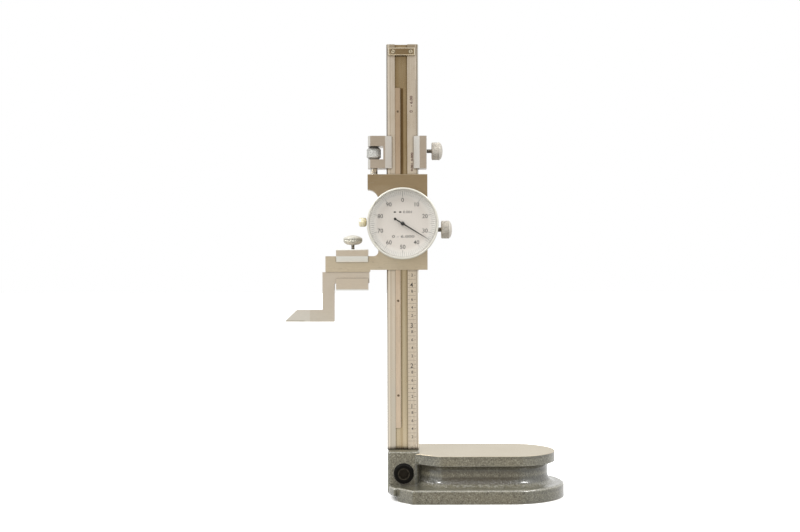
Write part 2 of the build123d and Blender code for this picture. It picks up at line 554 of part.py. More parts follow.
# ------------------------------------------------------------ scriber clamp
clp = prism_yz([(CL_B, CL_Z0 + 0.5), (CL_B - 0.5, CL_Z0), (CL_F + 0.7, CL_Z0), (CL_F, CL_Z0 + 0.7), (CL_F, 137.1),
                (-5.57, 137.1), (-5.57, 134.12), (3.6, 134.12), (3.6, 141.12), (4.1, 141.12),
                (4.1, 151.06), (-6.08, 151.06), (-6.08, 147.3), (-6.6, 147.3), (CL_F, 150.9), (CL_F, CL_Z1 - 0.5),
                (CL_F + 0.5, CL_Z1), (CL_B - 0.5, CL_Z1), (CL_B, CL_Z1 - 0.5)], CL_X0, CL_X1)
CS_X, CS_Y = -31.2, -1.0
clp -= cylz(150, 156, CS_X, CS_Y, 1.13)
add("scriber_clamp", clp)
cs = rev_z([(0, 151.12), (0.8, 151.12), (1.1, 151.5), (1.1, 158.3), (1.6, 158.0), (3.6, 158.3), (5.1, 159.1), (5.85, 160.2),
            (6.0, 161.2), (5.85, 162.1), (5.2, 162.95), (3.8, 163.7), (1.9, 164.15), (0, 164.25)], CS_X, CS_Y)
add("clamp_screw", cs)

# ------------------------------------------------------------ scriber
sc_pts = [(-20.9, SC_TOP), (-50.1, SC_TOP), (-50.1, 117.5), (-66.4, 117.5), (-73.2, 111.0), (-61.3, 111.0), (-61.3, TIP_Z),
          (-42.7, TIP_Z), (-42.7, 133.35), (-41.85, SC_BAR_Z0), (-20.9, SC_BAR_Z0)]
scr = prism_xz(sc_pts, SC_Y0, SC_Y1)
# the foot narrows to a chisel in plan
scr -= prism_xy([(-80, SC_Y0 - 1), (-58, SC_Y0 - 1), (-58, SC_Y0), (-73.6, -2.6), (-80, -2.6)], 100, 118)
scr -= prism_xy([(-80, SC_Y1 + 1), (-58, SC_Y1 + 1), (-58, SC_Y1), (-73.6, 0.6), (-80, 0.6)], 100, 118)
add("scriber", scr)
tip = prism_xz([(-73.25, 110.98), (-73.6, 110.6), (-73.3, TIP_Z), (-61.32, TIP_Z), (-61.32, 110.98)], SC_Y0, SC_Y1)
tip -= prism_xy([(-80, SC_Y0 - 1), (-58, SC_Y0 - 1), (-58, SC_Y0), (-73.6, -2.6), (-80, -2.6)], 100, 118)
tip -= prism_xy([(-80, SC_Y1 + 1), (-58, SC_Y1 + 1), (-58, SC_Y1), (-73.6, 0.6), (-80, 0.6)], 100, 118)
add("carbide_tip", tip)

# ------------------------------------------------------------ write
for name, obj in nodes.items():
    sol = list(obj.solids())
    out = sol[0] if len(sol) == 1 else Compound(sol)
    export_step(out, f"parts/{name}.step")
print(len(nodes), "nodes written")
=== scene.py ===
import bpy
import bmesh
import json
import math
from mathutils import Matrix, Vector


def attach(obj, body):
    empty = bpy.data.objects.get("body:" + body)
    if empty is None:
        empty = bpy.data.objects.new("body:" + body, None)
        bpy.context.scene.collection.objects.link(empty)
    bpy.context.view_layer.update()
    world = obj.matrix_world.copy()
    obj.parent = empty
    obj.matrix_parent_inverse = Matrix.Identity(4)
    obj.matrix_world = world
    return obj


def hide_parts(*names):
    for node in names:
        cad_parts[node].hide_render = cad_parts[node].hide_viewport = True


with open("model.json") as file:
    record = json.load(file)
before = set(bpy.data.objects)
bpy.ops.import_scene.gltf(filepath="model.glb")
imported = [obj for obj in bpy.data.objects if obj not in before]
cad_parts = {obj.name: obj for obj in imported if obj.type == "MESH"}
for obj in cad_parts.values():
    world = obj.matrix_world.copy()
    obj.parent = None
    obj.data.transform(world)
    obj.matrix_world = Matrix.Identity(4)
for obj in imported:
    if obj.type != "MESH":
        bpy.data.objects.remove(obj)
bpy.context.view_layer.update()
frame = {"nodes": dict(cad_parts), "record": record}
N = frame["nodes"]
SC = bpy.context.scene
MM = 0.001
IN = 25.4
PLATE_TOP = 0.0280

# ------------------------------------------------------------------ camera
cam_data = bpy.data.cameras.new("camera")
cam = bpy.data.objects.new("camera", cam_data)
SC.collection.objects.link(cam)
cam_data.sensor_width = 36.0
cam_data.lens = 57.3
cam_data.clip_start = 0.01
cam_data.clip_end = 50.0
cam.location = (-1.70 * MM, -800 * MM, 144.8 * MM)
cam.rotation_euler = (math.radians(90.0), math.radians(0.15), 0.0)
SC.camera = cam

SC.view_settings.view_transform = "Standard"
SC.view_settings.look = "None"
SC.view_settings.exposure = 0.0
SC.view_settings.gamma = 1.0


# ------------------------------------------------------------------ light levels
DIFFUSE_LIGHT = 0.95
ROOM_LOW = (0.80, 0.735, 0.625)
ROOM_HIGH = (0.44, 0.375, 0.295)
SIDE_LOW = (0.82, 0.86, 0.88)
SIDE_HIGH = (1.10, 1.17, 1.22)


# ------------------------------------------------------------------ node helpers
class G:
    """Small helper to build shader node trees."""

    def __init__(self, name):
        self.m = bpy.data.materials.new(name)
        self.m.use_nodes = True
        self.t = self.m.node_tree
        self.t.nodes.clear()
        self.out = self.t.nodes.new("ShaderNodeOutputMaterial")
        self.p = self.t.nodes.new("ShaderNodeBsdfPrincipled")
        self.t.links.new(self.p.outputs[0], self.out.inputs[0])
        self.tc = None

    def n(self, kind, **kw):
        x = self.t.nodes.new(kind)
        for k, v in kw.items():
            setattr(x, k, v)
        return x

    def link(self, a, b):
        self.t.links.new(a, b)

    def coords(self, scale=(1, 1, 1), rot=(0, 0, 0), loc=(0, 0, 0)):
        if self.tc is None:
            self.tc = self.n("ShaderNodeTexCoord")
        mp = self.n("ShaderNodeMapping")
        mp.inputs["Scale"].default_value = scale
        mp.inputs["Rotation"].default_value = rot
        mp.inputs["Location"].default_value = loc
        self.link(self.tc.outputs["Object"], mp.inputs["Vector"])
        return mp.outputs[0]

    def noise(self, vec, scale=1.0, detail=3.0, rough=0.55, dist=0.0):
        x = self.n("ShaderNodeTexNoise")
        x.inputs["Scale"].default_value = scale
        x.inputs["Detail"].default_value = detail
        x.inputs["Roughness"].default_value = rough
        x.inputs["Distortion"].default_value = dist
        self.link(vec, x.inputs["Vector"])
        return x.outputs["Fac"]

    def voronoi(self, vec, scale=1.0, feature="F1", rand=1.0, smooth=None):
        x = self.n("ShaderNodeTexVoronoi")
        x.feature = feature
        x.inputs["Scale"].default_value = scale
        x.inputs["Randomness"].default_value = rand
        if smooth is not None and "Smoothness" in x.inputs:
            x.inputs["Smoothness"].default_value = smooth
        self.link(vec, x.inputs["Vector"])
        return x.outputs["Distance"]

    def ramp(self, fac, stops, interp="LINEAR"):
        x = self.n("ShaderNodeValToRGB")
        r = x.color_ramp
        r.interpolation = interp
        while len(r.elements) > 1:
            r.elements.remove(r.elements[-1])
        r.elements[0].position = stops[0][0]
        r.elements[0].color = (*stops[0][1], 1)
        for pos, c in stops[1:]:
            e = r.elements.new(pos)
            e.color = (*c, 1)
        self.link(fac, x.inputs[0])
        return x.outputs[0]

    def maprange(self, fac, a, b, c, d, smooth=False):
        x = self.n("ShaderNodeMapRange")
        if smooth:
            x.interpolation_type = "SMOOTHSTEP"
        x.inputs[1].default_value = a
        x.inputs[2].default_value = b
        x.inputs[3].default_value = c
        x.inputs[4].default_value = d
        self.link(fac, x.inputs[0])
        return x.outputs[0]

    def math(self, op, a, b=None, clamp=False):
        x = self.n("ShaderNodeMath")
        x.operation = op
        x.use_clamp = clamp
        for i, v in enumerate((a, b)):
            if v is None:
                continue
            if isinstance(v, (int, float)):
                x.inputs[i].default_value = v
            else:
                self.link(v, x.inputs[i])
        return x.outputs[0]

    def mix(self, fac, a, b, mode="MIX"):
        x = self.n("ShaderNodeMix")
        x.data_type = "RGBA"
        x.blend_type = mode
        if isinstance(fac, (int, float)):
            x.inputs["Factor"].default_value = fac
        else:
            self.link(fac, x.inputs["Factor"])
        for name, v in (("A", a), ("B", b)):
            s = [i for i in x.inputs if i.name == name and i.type == "RGBA"][0]
            if isinstance(v, tuple):
                s.default_value = (*v, 1)
            else:
                self.link(v, s)
        return [o for o in x.outputs if o.type == "RGBA"][0]

    def xyz(self):
        if self.tc is None:
            self.tc = self.n("ShaderNodeTexCoord")
        s = self.n("ShaderNodeSeparateXYZ")
        self.link(self.tc.outputs["Object"], s.inputs[0])
        return s.outputs

    def normal(self):
        g = self.n("ShaderNodeNewGeometry")
        s = self.n("ShaderNodeSeparateXYZ")
        self.link(g.outputs["Normal"], s.inputs[0])
        return s.outputs

    def edge(self, radius=0.3, lo=0.02, hi=0.25, samples=4):
        """0 on flat areas, 1 along edges."""
        b = self.n("ShaderNodeBevel")
        b.samples = samples
        b.inputs["Radius"].default_value = radius * MM
        g = self.n("ShaderNodeNewGeometry")
        d = self.n("ShaderNodeVectorMath")
        d.operation = "DOT_PRODUCT"
        self.link(b.outputs[0], d.inputs[0])
        self.link(g.outputs["Normal"], d.inputs[1])
        inv = self.math("SUBTRACT", 1.0, d.outputs["Value"])
        return self.maprange(inv, lo, hi, 0.0, 1.0)

    def ao(self, dist=1.5, lo=0.25, hi=0.95, samples=8):
        """1 in the open, 0 deep in a crevice."""
        x = self.n("ShaderNodeAmbientOcclusion")
        x.samples = samples
        x.inputs["Distance"].default_value = dist * MM
        return self.maprange(x.outputs["AO"], lo, hi, 0.0, 1.0)

    def mask(self, src, a, b):
        """Smooth 0 to 1 as src goes from a to b."""
        return self.maprange(src, a, b, 0.0, 1.0)

    def local_normal(self):
        if self.tc is None:
            self.tc = self.n("ShaderNodeTexCoord")
        s = self.n("ShaderNodeSeparateXYZ")
        self.link(self.tc.outputs["Normal"], s.inputs[0])
        return s.outputs

    def bump(self, height, strength=0.3, dist=0.05, prev=None):
        b = self.n("ShaderNodeBump")
        b.inputs["Strength"].default_value = strength
        b.inputs["Distance"].default_value = dist * MM
        self.link(height, b.inputs["Height"])
        if prev is not None:
            self.link(prev, b.inputs["Normal"])
        self.link(b.outputs[0], self.p.inputs["Normal"])
        return b.outputs[0]

    def set(self, **kw):
        names = {"base": "Base Color", "rough": "Roughness", "metal": "Metallic", "ior": "IOR", "alpha": "Alpha",
                 "coat": "Coat Weight", "coat_rough": "Coat Roughness", "spec": "Specular IOR Level", "trans": "Transmission Weight"}
        for k, v in kw.items():
            s = self.p.inputs[names[k]]
            if isinstance(v, tuple):
                s.default_value = (*v, 1)
            elif isinstance(v, (int, float)):
                s.default_value = v
            else:
                self.link(v, s)
        return self


def brushed(name, base, rough=0.3, var=0.12, direction=(1, 1, 0.02), fine=6000, stain=0.0, edge=0.35, bump=0.06, metal=1.0,
            stain_col=None, rough_var=0.10, grime_and_shade=0.0, grime_and_shade_dist=1.2, tint=None, coarse=0.0):
    """Satin or ground metal: fine lines along one direction, soft cloudiness, bright worn edges."""
    g = G(name)
    v = g.coords(scale=direction)
    lines = g.noise(v, scale=fine, detail=4, rough=0.7)
    cloud = g.noise(g.coords(), scale=55, detail=4, rough=0.6)
    spot = g.noise(g.coords(loc=(3.1, 0.7, 1.9)), scale=420, detail=3, rough=0.6)
    dark = tuple(c * (1 - var) for c in base)
    light = tuple(min(1.0, c * (1 + var)) for c in base)
    col = g.ramp(g.maprange(lines, 0.3, 0.7, 0, 1), [(0.0, dark), (1.0, light)])
    col = g.mix(g.maprange(cloud, 0.35, 0.7, 0, 0.5), col, tuple(c * 0.86 for c in base))
    if stain > 0:
        sc = stain_col or tuple(c * 0.55 for c in base)
        col = g.mix(g.maprange(spot, 0.62, 0.78, 0, stain), col, sc)
    if coarse > 0:
        broad = g.noise(g.coords(scale=direction, loc=(0.4, 0.2, 0.9)), scale=fine * 0.22, detail=3, rough=0.6)
        col = g.mix(g.maprange(broad, 0.45, 0.62, 0, coarse), col, tuple(c * 0.72 for c in base))
    if tint is not None:
        col = tint(g, col, base)
    if edge > 0:
        col = g.mix(g.math("MULTIPLY", g.edge(0.25), edge), col, tuple(min(1.0, c * 1.35 + 0.04) for c in base))
    elif edge < 0:
        col = g.mix(g.math("MULTIPLY", g.edge(0.35), -edge), col, tuple(c * 0.45 for c in base))
    # dirt and painted shade darken the crevices (ambient occlusion)
    if grime_and_shade > 0:
        a = g.ao(grime_and_shade_dist)
        col = g.mix(g.math("MULTIPLY", g.math("SUBTRACT", 1.0, a), grime_and_shade), col, (0.055, 0.040, 0.024))
    r = g.maprange(lines, 0.25, 0.75, rough - rough_var / 2, rough + rough_var / 2)
    r = g.math("ADD", r, g.maprange(cloud, 0.3, 0.7, -0.04, 0.05))
    g.set(base=col, rough=r, metal=metal)
    g.bump(lines, strength=0.25, dist=bump * 0.1)
    return g.m


# ------------------------------------------------------------------ materials
M = {}

# hammertone paint on the casting, with a machined top plate and datum
g = G("cast_hammertone")
vc = g.coords()
cells = g.voronoi(vc, scale=700, feature="SMOOTH_F1", smooth=0.5)
speck = g.noise(g.coords(loc=(0.3, 0.1, 0.7)), scale=1150, detail=4, rough=0.75)
fleck = g.noise(g.coords(loc=(0.9, 0.4, 0.2)), scale=2100, detail=2, rough=0.6)
pits = g.noise(g.coords(loc=(0.1, 0.8, 0.5)), scale=950, detail=2, rough=0.5)
broad = g.noise(vc, scale=60, detail=3, rough=0.6)
paint = g.ramp(g.maprange(speck, 0.36, 0.64, 0, 1), [(0.0, (0.080, 0.073, 0.048)), (0.40, (0.160, 0.149, 0.107)), (0.72, (0.225, 0.211, 0.158)), (1.0, (0.37, 0.36, 0.295))])
paint = g.mix(g.maprange(cells, 0.30, 0.70, 0, 0.45), paint, (0.085, 0.075, 0.052))
paint = g.mix(g.maprange(fleck, 0.66, 0.74, 0, 0.45), paint, (0.56, 0.55, 0.48))
paint = g.mix(g.maprange(pits, 0.585, 0.66, 0, 0.80), paint, (0.034, 0.031, 0.021))
paint = g.mix(g.maprange(broad, 0.35, 0.7, 0, 0.30), paint, (0.20, 0.170, 0.105))
# painted shade: the paint darkens deep in recesses (ambient occlusion)
recess_shade = g.ao(9.0, 0.30, 0.85)
paint = g.mix(g.math("MULTIPLY", g.math("SUBTRACT", 1.0, recess_shade), 0.42), paint, (0.032, 0.030, 0.020))
z = g.xyz()[2]
xx = g.xyz()[0]
nz = g.local_normal()[2]
# the finger groove: painted shade under the rim and low in the cove, and painted glints just above the flange
in_groove = g.mask(xx, 0.0088, 0.0110)
under = g.math("MULTIPLY", g.mask(z, 0.0160, 0.0178), g.mask(z, 0.0212, 0.0200))
low = g.math("MULTIPLY", g.mask(z, 0.0099, 0.0110), g.mask(z, 0.0152, 0.0138))
paint = g.mix(g.math("MULTIPLY", g.math("MULTIPLY", g.math("MAXIMUM", under, g.math("MULTIPLY", low, 1.35)), in_groove), 0.48), paint, (0.036, 0.032, 0.022))
painted_glints = g.math("MULTIPLY", g.mask(z, 0.0084, 0.0090), g.mask(z, 0.0104, 0.0097))
painted_glints = g.math("MULTIPLY", g.math("MULTIPLY", painted_glints, in_groove), g.maprange(g.noise(g.coords(loc=(0.6, 0.2, 0.4)), scale=520, detail=3, rough=0.7), 0.45, 0.62, 0, 0.40))
paint = g.mix(painted_glints, paint, (0.50, 0.50, 0.46))
# painted shade in the corner beside the boss, below the rim
boss_side_shade = g.math("MULTIPLY", g.math("MULTIPLY", g.mask(xx, 0.0066, 0.0082), g.mask(xx, 0.0112, 0.0104)), g.mask(z, 0.0219, 0.0214))
paint = g.mix(g.math("MULTIPLY", boss_side_shade, 0.24), paint, (0.036, 0.032, 0.022))
# painted brown reflection in the middle of the groove, with less coat there, and a thin dark line below the upper edges
# of the rim and the flange
brown_reflection_zone = g.math("MULTIPLY", g.math("MULTIPLY", g.mask(xx, 0.0210, 0.0300), g.mask(xx, 0.0730, 0.0640)), low)
paint = g.mix(g.math("MULTIPLY", brown_reflection_zone, 0.35), paint, (0.080, 0.058, 0.032))
brow = g.math("MAXIMUM", g.math("MULTIPLY", g.mask(z, 0.0052, 0.0060), g.mask(z, 0.0072, 0.0068)), g.math("MULTIPLY", g.mask(z, 0.0256, 0.0264), g.mask(z, 0.0277, 0.0275)))
brow = g.math("MULTIPLY", g.math("MULTIPLY", brow, g.mask(nz, 0.45, 0.30)), g.mask(xx, 0.0080, 0.0110))
paint = g.mix(g.math("MULTIPLY", brow, 0.22), paint, (0.036, 0.032, 0.022))
top = g.math("MULTIPLY", g.mask(z, PLATE_TOP - 0.0003, PLATE_TOP - 0.0002), g.mask(z, PLATE_TOP + 0.0003, PLATE_TOP + 0.0002))
top = g.math("MULTIPLY", top, g.mask(nz, 0.6, 0.7))
bot = g.math("MULTIPLY", g.maprange(nz, -0.985, -0.93, 1, 0), g.maprange(z, 0.0001, 0.0003, 1, 0))
mach = g.math("MAXIMUM", top, bot)
lines = g.noise(g.coords(scale=(0.02, 1, 1)), scale=5200, detail=4, rough=0.7)
ground = g.ramp(g.maprange(lines, 0.3, 0.7, 0, 1), [(0.0, (0.50, 0.43, 0.315)), (1.0, (0.62, 0.55, 0.425))])
stain = g.noise(vc, scale=35, detail=4, rough=0.65)
ground = g.mix(g.maprange(stain, 0.45, 0.75, 0, 0.30), ground, (0.47, 0.395, 0.27))
mottle = g.noise(g.coords(loc=(0.7, 0.1, 0.6)), scale=900, detail=3, rough=0.7)
ground = g.mix(g.maprange(mottle, 0.52, 0.66, 0, 0.16), ground, (0.36, 0.30, 0.20))
# worn paint and a painted highlight along the edges, weaker at the top plate's edge
edge_wear_and_highlight = g.math("MULTIPLY", g.edge(0.5, 0.03, 0.25), 0.62)
edge_wear_and_highlight = g.math("MULTIPLY", edge_wear_and_highlight, g.maprange(g.math("MULTIPLY", g.mask(nz, 0.72, 0.88), g.mask(z, 0.0282, 0.0284)), 0, 1, 1.0, 0.20))
paint = g.mix(edge_wear_and_highlight, paint, (0.56, 0.545, 0.475))
# painted highlight line along the rounded upper edges of the flange and the boss
turn = g.math("MULTIPLY", g.mask(nz, 0.38, 0.55), g.mask(nz, 0.96, 0.86))
zone = g.math("MAXIMUM", g.math("MULTIPLY", g.mask(z, 0.0066, 0.0070), g.mask(z, 0.0087, 0.0085)), g.math("MULTIPLY", g.mask(z, 0.0281, 0.0284), g.mask(nz, 0.85, 0.70)))
painted_edge_highlight = g.math("MULTIPLY", g.math("MULTIPLY", turn, zone), g.maprange(speck, 0.34, 0.62, 0.06, 0.29))
paint = g.mix(painted_edge_highlight, paint, (0.72, 0.705, 0.635))
g.set(base=g.mix(mach, paint, ground), metal=g.maprange(mach, 0, 1, 0.0, 0.75), rough=g.math("ADD", g.maprange(mach, 0, 1, 0.32, 0.34), g.maprange(speck, 0.3, 0.7, -0.06, 0.08)))
boss_top = g.math("MULTIPLY", g.mask(z, 0.0283, 0.0285), g.mask(nz, 0.72, 0.90))
g.set(coat=g.math("MULTIPLY", g.maprange(mach, 0, 1, 1.0, 0.0), g.math("MULTIPLY", g.maprange(boss_top, 0, 1, 1.0, 0.15), g.maprange(brown_reflection_zone, 0, 1, 1.0, 0.30))), coat_rough=0.11)
hgt = g.math("ADD", g.math("MULTIPLY", cells, 0.8), g.math("MULTIPLY", speck, 0.7))
# the paint lies in a coarser orange peel low in the groove
peel = g.math("MULTIPLY", g.math("MULTIPLY", g.mask(z, 0.0080, 0.0100), g.mask(z, 0.0165, 0.0140)), in_groove)
hgt = g.math("MULTIPLY", hgt, g.maprange(peel, 0, 1, 1.0, 2.4))
hgt = g.math("MULTIPLY", hgt, g.math("SUBTRACT", 1.0, mach))
g.bump(hgt, strength=0.6, dist=0.24)
M["cast_paint"] = g.m

g = G("black_oxide")
nn = g.noise(g.coords(), scale=2600, detail=3, rough=0.6)
ox = g.ramp(nn, [(0.3, (0.0022, 0.0018, 0.0013)), (0.8, (0.008, 0.0065, 0.005))])
# the socket is worn brown by the key
dx = g.math("SUBTRACT", g.xyz()[0], 0.00035)
dz = g.math("SUBTRACT", g.xyz()[2], 0.0159)
rr = g.math("SQRT", g.math("ADD", g.math("MULTIPLY", dx, dx), g.math("MULTIPLY", dz, dz)))
sock = g.math("MULTIPLY", g.mask(rr, 0.00372, 0.00352), g.maprange(nn, 0.3, 0.6, 0.55, 1.0))
ox = g.mix(sock, ox, (0.055, 0.046, 0.034))
g.set(base=g.mix(g.math("MULTIPLY", g.edge(0.3), 0.45), ox, (0.040, 0.034, 0.027)),
      metal=0.25, rough=g.maprange(nn, 0.3, 0.7, 0.45, 0.60), spec=0.10)
g.bump(nn, 0.2, 0.02)
M["black_oxide"] = g.m



def column_tint(g, col, base):
    """Lapped lands stay bright; the milled groove floor between them is painted brown higher up and lighter low down, a
    painted reflection, and the chamfers carry painted shade and a painted highlight.
    """
    x, y, z = g.xyz()
    nx, ny, nz = g.local_normal()
    # painted reflection: the groove floor is lighter low down and brown higher up
    floor_col = g.ramp(g.maprange(z, 0.030, 0.285, 0, 1), [(0.0, (0.80, 0.72, 0.57)), (0.2, (0.68, 0.62, 0.48)), (0.42, (0.62, 0.555, 0.42)),
                                                            (0.75, (0.47, 0.375, 0.235)), (1.0, (0.46, 0.375, 0.25))])
    streak = g.noise(g.coords(scale=(1, 1, 0.006), loc=(0.2, 0.1, 0.3)), scale=1900, detail=3, rough=0.6)
    floor_col = g.mix(g.maprange(streak, 0.42, 0.62, 0, 0.55), floor_col, (0.40, 0.29, 0.15))
    inside = g.math("MULTIPLY", g.mask(y, 0.0006, 0.0012), g.math("MULTIPLY", g.mask(x, -0.0049, -0.0047), g.mask(x, 0.0034, 0.0031)))
    inside = g.math("MULTIPLY", inside, g.mask(y, 0.0030, 0.0027))
    # painted shadow on the groove floor beside the rack
    floor_col = g.mix(g.math("MULTIPLY", g.math("MULTIPLY", g.mask(x, -0.0013, -0.0011), g.mask(x, 0.0008, 0.0004)),
                             g.math("MULTIPLY", g.mask(z, 0.17, 0.21), g.mask(z, 0.2570, 0.2566))), floor_col, (0.20, 0.135, 0.065))
    col = g.mix(inside, col, floor_col)
    # vertical lap streaks on the lands
    lap = g.noise(g.coords(scale=(1, 1, 0.004), loc=(0.7, 0.3, 0.1)), scale=1300, detail=4, rough=0.65)
    land = g.math("MULTIPLY", g.mask(ny, -0.8, -0.95), g.mask(y, 0.0005, 0.0002))
    col = g.mix(g.math("MULTIPLY", land, g.maprange(lap, 0.42, 0.68, 0, 0.45)), col, (0.62, 0.535, 0.43))
    # the left land is greyer towards the foot
    grey = g.math("MULTIPLY", g.math("MULTIPLY", land, g.mask(x, -0.0040, -0.0050)), g.mask(z, 0.105, 0.060))
    col = g.mix(g.math("MULTIPLY", grey, 0.55), col, (0.66, 0.66, 0.625))
    # painted shade on the left chamfer and a painted highlight on the right one; the mask worn only makes both darker
    # higher up
    side = g.math("MULTIPLY", g.mask(g.math("ABSOLUTE", nx), 0.45, 0.6), g.mask(ny, -0.45, -0.6))
    worn = g.mask(z, 0.15, 0.20)
    left_c = g.mix(worn, (0.60, 0.54, 0.475), (0.235, 0.205, 0.175))
    right_c = g.mix(worn, (0.90, 0.83, 0.74), (0.44, 0.395, 0.34))
    col = g.mix(g.math("MULTIPLY", side, 0.9), col, g.mix(g.mask(nx, -0.2, 0.2), left_c, right_c))
    # oil-browned top end above the stop plate
    crown = g.math("MULTIPLY", g.mask(z, 0.2814, 0.2818), g.mask(y, 0.0005, 0.0002))
    col = g.mix(g.math("MULTIPLY", crown, 0.75), col, (0.46, 0.385, 0.27))
    # dark lines along the outer edge of each land, and painted highlight lines on the edges themselves
    line_r = g.math("MULTIPLY", g.mask(x, 0.00865, 0.00880), g.mask(x, 0.00925, 0.00915))
    col = g.mix(g.math("MULTIPLY", g.math("MULTIPLY", line_r, land), 0.75), col, (0.36, 0.30, 0.225))
    # painted highlight along the edges of the lands
    edge_r = g.math("MULTIPLY", g.mask(x, 0.00795, 0.00810), g.mask(x, 0.00862, 0.00852))
    edge_l = g.math("MULTIPLY", g.mask(x, -0.00915, -0.00900), g.mask(x, -0.00800, -0.00820))
    col = g.mix(g.math("MULTIPLY", g.math("MULTIPLY", g.math("MAXIMUM", edge_r, edge_l), land), 0.7), col, (1.0, 0.95, 0.88))
    line_l = g.math("MULTIPLY", g.mask(x, -0.00790, -0.00780), g.mask(x, -0.00730, -0.00745))
    col = g.mix(g.math("MULTIPLY", g.math("MULTIPLY", line_l, land), 0.35), col, (0.50, 0.44, 0.36))
    # near-black band at the foot, where the column enters the casting
    foot = g.mask(g.math("ADD", z, g.maprange(lap, 0.3, 0.7, -0.0006, 0.0008)), 0.0318, 0.0298)
    col = g.mix(g.math("MULTIPLY", foot, 0.85), col, (0.050, 0.040, 0.028))
    return col


M["ground_steel"] = brushed("column_steel", (0.86, 0.80, 0.72), rough=0.30, var=0.06, direction=(1, 1, 0.015), fine=7000, stain=0.12, edge=0.0,
                            grime_and_shade=0.85, grime_and_shade_dist=1.6, tint=column_tint, coarse=0.25)


def scriber_tint(g, col, base):
    z = g.xyz()[2]
    return g.mix(g.mask(z, 0.114, 0.124), col, g.mix(0.5, col, (0.70, 0.625, 0.545)))


M["scriber_steel"] = brushed("scriber_steel", (0.755, 0.715, 0.65), rough=0.36, var=0.08, direction=(0.02, 1, 1), fine=6000, stain=0.2, edge=0.15,
                             grime_and_shade=0.5, grime_and_shade_dist=1.0, tint=scriber_tint)


def rack_tint(g, col, base):
    z = g.xyz()[2]
    return g.mix(g.mask(z, 0.14, 0.235), col, g.mix(0.85, col, (0.52, 0.40, 0.285)))


M["rack_steel"] = brushed("rack_steel", (0.84, 0.715, 0.595), rough=0.33, var=0.12, direction=(1, 1, 0.05), fine=6000, stain=0.30, edge=0.15,
                          grime_and_shade=0.8, grime_and_shade_dist=0.8, coarse=0.3, tint=rack_tint)
M["screw_steel"] = brushed("screw_steel", (0.50, 0.42, 0.30), rough=0.30, var=0.12, direction=(1, 1, 1), fine=3000, stain=0.30, edge=0.6,
                           grime_and_shade=0.9, grime_and_shade_dist=0.7)
M["stud_steel"] = brushed("stud_steel", (0.92, 0.90, 0.86), rough=0.32, var=0.08, direction=(1, 1, 1), fine=3000, stain=0.10, edge=0.0,
                          grime_and_shade=0.2, grime_and_shade_dist=0.3)


def stop_tint(g, col, base):
    """A dark oil-brown face inside bright filed edges."""
    x, y, z = g.xyz()
    nx, ny, nz = g.local_normal()
    mid = g.math("MULTIPLY", g.mask(x, -0.0052, -0.0035), g.mask(x, 0.0048, 0.0036))
    col = g.mix(g.math("MULTIPLY", mid, 0.75), col, (0.31, 0.225, 0.125))
    flank = g.math("MULTIPLY", g.mask(ny, -0.97, -0.85), g.mask(y, -0.0010, -0.0012))
    return g.mix(g.math("MULTIPLY", flank, 0.9), col, (0.90, 0.78, 0.60))


M["stop_steel"] = brushed("stop_steel", (0.50, 0.41, 0.275), rough=0.28, var=0.10, direction=(0.02, 1, 1), fine=6000, stain=0.2, edge=0.35,
                          grime_and_shade=0.8, grime_and_shade_dist=0.7, tint=stop_tint)
M["rack_screw_steel"] = brushed("rack_screw_steel", (0.28, 0.21, 0.15), rough=0.35, var=0.12, direction=(1, 1, 1), fine=3000, stain=0.3, edge=0.5,
                                grime_and_shade=0.9, grime_and_shade_dist=0.6)
M["stop_screw_steel"] = brushed("stop_screw_steel", (0.93, 0.85, 0.68), rough=0.26, var=0.10, direction=(1, 1, 1), fine=3000, stain=0.2, edge=0.5,
                                grime_and_shade=0.9, grime_and_shade_dist=0.6)


def slide_tint(g, col, base):
    """The slide's upper end is painted darker and browner than its jaw, a painted reflection."""
    x, y, z = g.xyz()
    top_edge_wobble = g.noise(g.coords(scale=(0.25, 1, 1), loc=(0.5, 0.1, 0.2)), scale=60, detail=3, rough=0.6)
    top_edge_wobble = g.math("ADD", g.maprange(top_edge_wobble, 0.3, 0.7, -0.006, 0.006), g.maprange(x, -0.010, 0.008, 0.0, 0.016))
    # painted reflection: darker brown over the upper end
    top = g.mask(g.math("ADD", z, top_edge_wobble), 0.150, 0.195)
    col = g.mix(top, col, g.mix(0.80, col, (0.30, 0.215, 0.115)))
    band = g.noise(g.coords(scale=(1, 1, 0.12), loc=(0.3, 0.5, 0.8)), scale=420, detail=3, rough=0.6)
    col = g.mix(g.math("MULTIPLY", top, g.maprange(band, 0.44, 0.60, 0, 0.30)), col, (0.40, 0.31, 0.20))
    fleck = g.noise(g.coords(scale=(0.35, 1, 1), loc=(0.1, 0.9, 0.4)), scale=700, detail=3, rough=0.6)
    return g.mix(g.maprange(fleck, 0.60, 0.74, 0, 0.40), col, tuple(c * 0.62 for c in base))


def carriage_tint(g, col, base):
    """The sloped lip on the right of the bridge carries a painted highlight."""
    nx, ny, nz = g.local_normal()
    lip = g.math("MULTIPLY", g.mask(nx, -0.25, -0.40), g.mask(ny, -0.25, -0.40))
    return g.mix(g.math("MULTIPLY", lip, 0.34), col, (0.80, 0.78, 0.73))


def clamp_tint(g, col, base):
    """The clamp's sloped shoulders carry a painted highlight."""
    nx, ny, nz = g.local_normal()
    lip = g.math("MULTIPLY", g.mask(g.math("ABSOLUTE", nz), 0.25, 0.40), g.mask(ny, -0.25, -0.40))
    return g.mix(g.math("MULTIPLY", lip, 0.62), col, (0.97, 0.945, 0.87))


